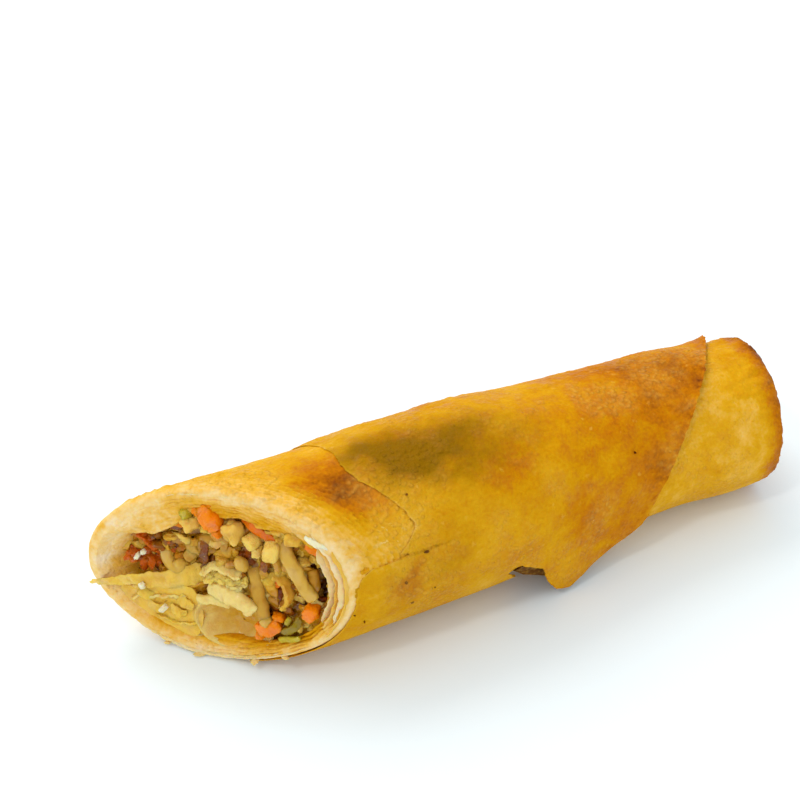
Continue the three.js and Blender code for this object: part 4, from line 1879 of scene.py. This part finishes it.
    def place_leaves(self) -> None:
        """Set the cabbage leaves and stems."""
        cabbage, stem = Food.CABBAGE, Food.STEM
        brim = [
            (6.0, -5.2, 1.6), (3.0, -5.0, 1.2), (-0.4, -4.8, 0.7), (-2.9, -6.4, 0.4), (-3.3, -9.2, 0.5),
            (-0.9, -11.9, 0.5), (2.8, -12.5, 0.5), (6.6, -11.6, 0.6), (8.2, -9.0, 1.2),
        ]
        self.bowl(stem, brim, centre=(3.0, -9.0, 3.6), thickness=0.9)
        wedge = [(-1.6, -3.3, 1.4), (0.8, -3.2, 0.6), (3.2, -3.2, 0.0), (5.9, -4.7, 0.4)]
        self.strand(stem, wedge, width=2.7, height=1.5, power=3.0, taper=-0.1, rough=0.24)
        self.strand(stem, [(-3.2, -5.2, 0.6), (-0.4, -4.7, 0.5), (2.0, -5.0, 0.7)],
            width=1.5, height=1.0, power=3.0, tone=0.2, taper=0.2, rough=0.18)
        self.leaf(stem, [(-2.6, -1.4), (-0.6, 0.4), (1.6, 0.2), (3.6, 0.4)],
            near=0.3, far=4.0, thickness=(0.9, 0.7), ruffle=0.7, tone=0.15)
        self.leaf(Food.EGG, [(-2.2, -2.6), (0.2, -1.0), (2.6, -1.0)],
            near=0.3, far=4.0, thickness=(1.0, 0.8), ruffle=0.7)
        self.crumble(Food.EGG, 0.8, -0.8, 0.6,
            reach=(3.2, 1.7), number=22, size=(0.8, 1.7), seed=5, tone=0.1)
        self.crumble(stem, 3.0, -1.4, 0.6, reach=(1.8, 1.2), number=8, size=(0.8, 1.6), seed=6, tone=0.1)
        self.leaf(cabbage, [(8.2, 1.2), (9.6, 0.4), (10.4, -1.6), (9.6, -3.4)],
            near=0.6, far=6.0, thickness=(1.0, 0.8), ruffle=0.6, tone=0.4)
        self.leaf(cabbage, [(6.6, 5.2), (8.4, 4.0), (8.6, 1.8)],
            near=0.9, far=6.0, thickness=(1.3, 0.9), tone=0.3)
        self.leaf(cabbage, [(11.6, 9.4), (9.2, 9.6), (7.0, 9.2)],
            near=0.4, far=4.0, thickness=(0.9, 0.8), tone=0.4)
        spike = [
            (-2.8, -1.8, 2.4), (-5.4, -2.6, 0.9), (-8.8, -3.2, 0.0), (-12.6, -3.9, -0.4),
            (-16.4, -5.2, -0.4), (-20.4, -6.7, -0.1),
        ]
        self.strand(cabbage, spike, width=4.6, height=0.9, power=2.2, taper=0.86, rough=0.2)
        folds = [
            (-4.4, -3.8, 0.8), (-9.0, -4.4, 0.4), (-13.6, -5.6, 0.3), (-15.6, -7.0, 0.7),
            (-12.2, -9.4, 0.6), (-7.4, -11.2, 0.5), (-3.2, -11.8, 0.6), (-2.4, -7.6, 0.9),
        ]
        self.bowl(cabbage, folds, centre=(-7.4, -7.4, 0.8), thickness=1.2, tone=-0.05)
        creases = ((-6.2, -8.2, 0.3), (-9.6, -8.4, 0.1), (-5.0, -6.4, 0.5), (-11.4, -6.4, 0.2))
        for across, up, lean in creases:
            route = [(across - 1.3, up + lean, 0.7), (across, up, 0.35), (across + 1.3, up - lean, 0.7)]
            self.strand(cabbage, route, width=1.8, height=0.45, taper=0.2, rough=0.2)
        self.leaf(stem, [(-5.0, -5.4), (-9.4, -6.3), (-13.8, -7.6)],
            near=0.35, far=5.0, thickness=(0.8, 0.6), tone=0.3)
        self.leaf(cabbage, [(-3.0, -9.6), (-6.6, -10.0), (-9.8, -9.8)],
            near=0.42, far=5.0, thickness=(0.7, 0.5), tone=0.0)
        self.strand(Food.WHITE, [(13.0, 10.2, 0.1), (14.8, 9.6, -0.2), (16.6, 8.7, 0.1)],
            width=0.95, height=0.6, power=2.6, tone=0.2, taper=0.1, rough=0.1)
        self.bit(cabbage, 11.4, 9.0, 0.8, size=(3.2, 2.6, 2.2), turn=0.5, tone=0.35, power=3.0)

    def place_bits(self) -> None:
        """Set the small bits that have a place of their own."""
        self.bit(Food.GREEN, -5.0, 8.7, 0.8,
            size=(2.0, 1.5, 2.4), turn=0.3, tone=-0.1, rough=0.3, power=3.5)
        self.bit(Food.ONION, -4.4, 7.2, 0.8, size=(2.6, 2.2, 2.0), power=3.5)
        self.bit(Food.ONION, 2.3, 7.6, 0.5, size=(3.0, 2.4, 3.0), turn=0.5, tone=-0.1, rough=0.3, power=4.5)
        self.bit(Food.EGG, 5.1, 6.8, 0.8, size=(2.4, 2.1, 1.9), turn=0.4, tone=-0.1, rough=0.2, power=4.5)
        self.bit(Food.EGG, 5.9, 5.5, 0.9, size=(2.1, 1.6, 1.4), turn=0.9, tone=-0.2, rough=0.25, power=4.5)
        self.bit(Food.EGG, 8.3, 6.3, 0.1, size=(2.6, 2.4, 2.9), turn=0.9, tone=-0.1, rough=0.2, power=4.5)
        self.strand(Food.GREEN, [(10.3, -7.4, 0.6), (12.0, -5.9, 0.3), (12.8, -4.2, 0.8)],
            width=1.3, height=0.8, power=2.6, tone=0.9, taper=0.2, rough=0.08)
        self.strand(Food.GREEN, [(9.8, -8.6, 0.4), (12.2, -7.7, 0.1), (13.0, -7.3, 0.3)],
            width=1.1, height=0.7, power=2.6, taper=0.3, rough=0.08)
        self.strand(Food.GREEN, [(10.8, -6.0, 0.8), (11.2, -4.6, 0.9)],
            width=1.1, height=0.8, power=2.6, tone=0.3, taper=0.2, rough=0.08)
        self.crumble(Food.BROWN, -9.4, 2.4, 2.0,
            reach=(3.0, 1.2), number=9, size=(1.2, 2.4), seed=11, tone=0.8)
        self.crumble(Food.RED, -12.0, -1.2, 1.6,
            reach=(2.6, 0.9), number=8, size=(1.1, 2.2), seed=12, tone=0.2)
        self.crumble(Food.RED, -9.6, 1.2, 1.2, reach=(2.4, 0.7), number=6, size=(1.0, 2.0), seed=13)
        self.crumble(Food.BROWN, 2.0, 1.4, 2.6,
            reach=(3.2, 2.2), number=10, size=(1.2, 2.4), seed=14, tone=0.6)
        self.crumble(Food.BROWN, 11.0, -1.4, 2.2, reach=(2.2, 2.4), number=9, size=(1.1, 2.2), seed=15)
        self.leaf(Food.RED, [(-13.4, 2.4), (-11.4, 1.0), (-9.0, 1.6), (-7.0, 3.0)],
            near=1.6, far=5.0, thickness=(0.9, 0.8), ruffle=0.6, tone=0.2)
        self.leaf(Food.RED, [(-15.0, -2.0), (-12.4, -1.6), (-10.4, -2.2)],
            near=0.9, far=4.0, thickness=(1.1, 0.9))
        self.crumble(Food.EGG, 13.0, 4.4, 1.5, reach=(2.4, 3.0), number=12, size=(1.2, 2.6), seed=16)
        self.crumble(Food.CABBAGE, 10.6, 9.0, 1.0,
            reach=(3.0, 1.4), number=8, size=(1.2, 2.4), seed=17, tone=0.4)
        self.crumble(Food.CABBAGE, -1.6, 6.8, 1.8, reach=(2.0, 1.4), number=7, size=(1.2, 2.2), seed=18)
        self.crumble(Food.EGG, 6.4, 2.0, 2.2,
            reach=(2.2, 1.6), number=8, size=(1.0, 2.2), seed=19, tone=0.4)
        self.crumble(Food.CABBAGE, -6.4, -2.2, 1.4,
            reach=(2.2, 1.2), number=8, size=(1.0, 2.2), seed=20, tone=0.4)
        self.crumble(Food.EGG, 12.4, -5.8, 1.2,
            reach=(2.2, 1.2), number=8, size=(0.8, 1.6), seed=21, tone=0.4)
        self.bit(Food.WHITE, -11.2, -4.3, -0.9, size=(0.9, 0.8, 1.3), rough=0.4)
        self.bit(Food.WHITE, -8.2, -7.8, -0.2, size=(1.6, 0.8, 0.9), turn=0.6, rough=0.5)
        self.bit(Food.WHITE, -12.8, -0.6, 0.8,
            size=(1.1, 0.8, 0.7), turn=0.6, tone=0.1, rough=0.5, power=3.5)
        self.bit(Food.WHITE, -11.9, 0.3, 0.9,
            size=(0.9, 0.7, 0.6), turn=0.1, tone=0.3, rough=0.5, power=3.5)

    def scatter(self, number: int = 250) -> None:
        """Fill the gaps behind with shreds and small bits, but leave the cupped leaf open.

        Args:
            number: how many places are tried.
        """
        rng = np.random.default_rng(97)
        kinds = [Food.CABBAGE, Food.EGG, Food.ONION, Food.BROWN, Food.STEM, Food.CARROT, Food.NOODLE]
        odds = [0.34, 0.16, 0.12, 0.18, 0.08, 0.03, 0.09]
        for index in range(number):
            kind = kinds[rng.choice(len(kinds), p=odds)]
            turn, radius = rng.uniform(0, 2 * math.pi), math.sqrt(rng.random())
            s, t = 14.6 * radius * math.cos(turn), 10.6 * radius * math.sin(turn) - 0.4
            depth = rng.uniform(1.3, 3.0) + 1.2 * float(smooth(-s, 6, 14))
            tone = rng.uniform(0.2, 0.95)
            size = rng.uniform(0.8, 2.1, 3)
            lean, half = rng.uniform(0, math.pi), rng.uniform(1.0, 2.6)
            bend, spin, power = rng.uniform(-0.6, 0.6), rng.uniform(0, 3), rng.uniform(2.6, 4.5)
            ds, dt = half * math.cos(lean), half * math.sin(lean)
            low = t - abs(dt)
            if (-4.0 < s < 9.0 and low < -5.2) or (s < -4.0 and low < -3.4):
                continue
            if index % 4 == 0:
                self.bit(kind, s, t, depth, tuple(size), spin, tone, 0.42, power)
                continue
            crown = (s + bend * dt, t - bend * ds, depth - 0.3)
            route = [(s - ds, t - dt, depth + 0.5), crown, (s + ds, t + dt, depth + 0.7)]
            width, height, taper = 0.9 * size[0] + 0.4, 0.3 * size[1] + 0.2, 0.2 * size[2]
            self.strand(kind, route, width, height, 3.0, tone, taper, rough=0.22)

    def build(self) -> list[bpy.types.Object]:
        """Make one piece for each kind.

        Returns:
            The pieces.
        """
        self.place_carrots()
        self.place_noodles()
        self.place_leaves()
        self.place_bits()
        self.scatter()
        made = []
        for kind in Food:
            if kind in self.heaps:
                name = kind.value.name + "_pieces"
                piece = self.shop.make(name, self.heaps[kind], kind.dressed(), "cooked_filling", 70)
                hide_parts("filling")
                made.append(piece)
        return made


@dataclass
class BurntSpecks:
    """Tiny dark grains fried into the crust, and the torn crumbs of pastry at the cut."""

    shop: Workshop
    # Each grain: place along the roll, angle round it, size.
    burnt_at: tuple[Place, ...] = (
        (26.6, 157.5, 0.62), (22.9, 172.0, 0.50), (27.4, 184.0, 0.34), (24.0, 191.0, 0.42),
        (16.5, 193.0, 0.36), (14.9, 184.0, 0.26), (26.1, 124.0, 0.34), (63.8, 143.0, 0.40),
        (57.0, 202.0, 0.40),
    )
    # Each crumb: angle round the cut, distance behind it, size, height.
    torn: tuple[tuple[float, float, float, float], ...] = (
        (268.0, -0.2, 1.9, 0.4), (243.0, -0.3, 1.8, 0.35), (229.0, -0.2, 1.3, 0.35),
        (284.0, -0.1, 1.0, 0.3), (156.5, 2.8, 1.6, 0.7),
    )
    relief: Relief = field(default_factory=lambda: Relief(101))

    def build(self, burnt: bpy.types.Material, soft: bpy.types.Material) -> None:
        """Make the grains and the crumbs.

        Args:
            burnt: finish of the dark grains.
            soft: finish of the pastry crumbs.
        """
        grains = Mass()
        for k, (x, angle, size) in enumerate(self.burnt_at):
            centre = FORM.surface(np.array(x), np.array(angle), -0.04)
            sizes = (size * 1.3, size * 0.7, size * 0.8)
            points, faces = lump(centre, sizes, self.relief, 1.1 * k, 0.5, 2.4)
            grains.add(points, faces, toast=1.0, olive=0.0)
        piece = self.shop.make("burnt_specks", grains, burnt, "fried_pastry")
        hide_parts("pastry_wrapper")
        crumbs = Mass()
        for k, (angle, back, size, height) in enumerate(self.torn):
            at = np.array(angle)
            centre = FORM.surface(FORM.rim(at, 0.6) + back, at, 0.5, 1.0)
            centre[2] = max(centre[2], 0.45)
            points, faces = lump(centre, (size, size * 0.6, height), self.relief, 0.9 * k, 0.55, 2.4)
            crumbs.add(points, faces, toast=0.15 if angle > 200 else 0.55, olive=0.0)
        piece = self.shop.make("torn_crumbs", crumbs, soft, "fried_pastry")
        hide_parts("pastry_wrapper")


# ---------------------------------------------------------------- studio
@dataclass(frozen=True)
class Studio:
    """Pale floor, soft light and the camera, in metres and degrees."""

    azimuth: float = -26.2
    elevation: float = 38.7
    distance: float = 0.2449
    aim: tuple[float, float, float] = (0.0014, 0.02465, 0.014)
    lens: float = 67.5
    sensor: float = 36.0
    floor_size: float = 3.0

    def build(self) -> None:
        """Set up floor, lights, world and camera."""
        self.floor()
        self.lights()
        self.camera()

    def floor(self) -> None:
        """A plain pale floor."""
        mesh = bpy.data.meshes.new("floor")
        h = self.floor_size / 2
        mesh.from_pydata([(-h, -h, 0), (h, -h, 0), (h, h, 0), (-h, h, 0)], [], [(0, 1, 2, 3)])
        material = bpy.data.materials.new("floor_white")
        material.use_nodes = True
        shader = material.node_tree.nodes["Principled BSDF"]
        shader.inputs["Base Color"].default_value = (0.88, 0.94, 0.96, 1)
        shader.inputs["Roughness"].default_value = 0.7
        shader.inputs["Specular IOR Level"].default_value = 0.1
        mesh.materials.append(material)
        floor = bpy.data.objects.new("floor", mesh)
        bpy.context.scene.collection.objects.link(floor)

    @staticmethod
    def towards(azimuth: float, elevation: float) -> Vector:
        """Direction from the roll, 0 being the near side, in degrees."""
        a, e = math.radians(azimuth), math.radians(elevation)
        return Vector((math.sin(a) * math.cos(e), -math.cos(a) * math.cos(e), math.sin(e)))

    def lamp(
        self, name: str, azimuth: float, elevation: float, away: float, size: float, watts: float,
        colour: Colour,
    ) -> None:
        """Hang one square lamp that faces the roll.

        Args:
            name: the lamp's name.
            azimuth: direction round the roll, in degrees.
            elevation: height above the horizon, in degrees.
            away: distance.
            size: width of the lamp.
            watts: its power.
            colour: its light.
        """
        data = bpy.data.lights.new(name, "AREA")
        data.energy, data.size, data.color = watts, size, colour
        lamp = bpy.data.objects.new(name, data)
        towards = self.towards(azimuth, elevation)
        lamp.location = towards * away
        lamp.rotation_mode = "QUATERNION"
        lamp.rotation_quaternion = towards.to_track_quat("Z", "Y")
        bpy.context.scene.collection.objects.link(lamp)

    def lights(self) -> None:
        """A bright even room, one large soft lamp behind and a small pane that glints on the filling."""
        scene = bpy.context.scene
        scene.view_settings.view_transform = "Standard"
        world = bpy.data.worlds.new("bright_room")
        world.use_nodes = True
        back = world.node_tree.nodes["Background"]
        back.inputs["Color"].default_value = (0.90, 0.96, 1.0, 1)
        back.inputs["Strength"].default_value = 1.0
        scene.world = world
        self.lamp("back_window", 190.0, 50.0, 0.9, 0.5, 2.9, (1.0, 0.96, 0.90))
        self.lamp("bright_pane", -70.0, 56.0, 0.7, 0.06, 0.5, (1.0, 0.98, 0.94))

    def camera(self) -> None:
        """The camera, looking down on the cut from the near side."""
        data = bpy.data.cameras.new("camera")
        data.lens, data.sensor_width = self.lens, self.sensor
        data.clip_start, data.clip_end = 0.01, 20.0
        camera = bpy.data.objects.new("camera", data)
        back = self.towards(self.azimuth, self.elevation)
        camera.location = Vector(self.aim) + back * self.distance
        camera.rotation_mode = "QUATERNION"
        camera.rotation_quaternion = back.to_track_quat("Z", "Y")
        bpy.context.scene.collection.objects.link(camera)
        bpy.context.scene.camera = camera


def main() -> None:
    """Build every piece in order."""
    logging.basicConfig(level=logging.INFO, format="%(name)s: %(message)s")
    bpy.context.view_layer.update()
    shop = Workshop()
    crust = FriedPastry("fried_crust").build()
    soft_finish = FriedPastry(
        "soft_pastry", mottle=0.2, grain=0.6, roughness=0.4, oil=0.3, glow=0.35, pale_and_glint=0.1
    )
    soft = soft_finish.build()
    last = LastTurn(shop)
    UnderTurn(shop).build(crust)
    MiddleTurn(shop, last).build(crust)
    last.build(crust)
    RimTurns(shop).build(soft)
    FillingCore(shop).build()
    FillingPieces(shop).build()
    BurntSpecks(shop).build(crust, soft)
    Studio().build()


if __name__ == "__main__":
    main()
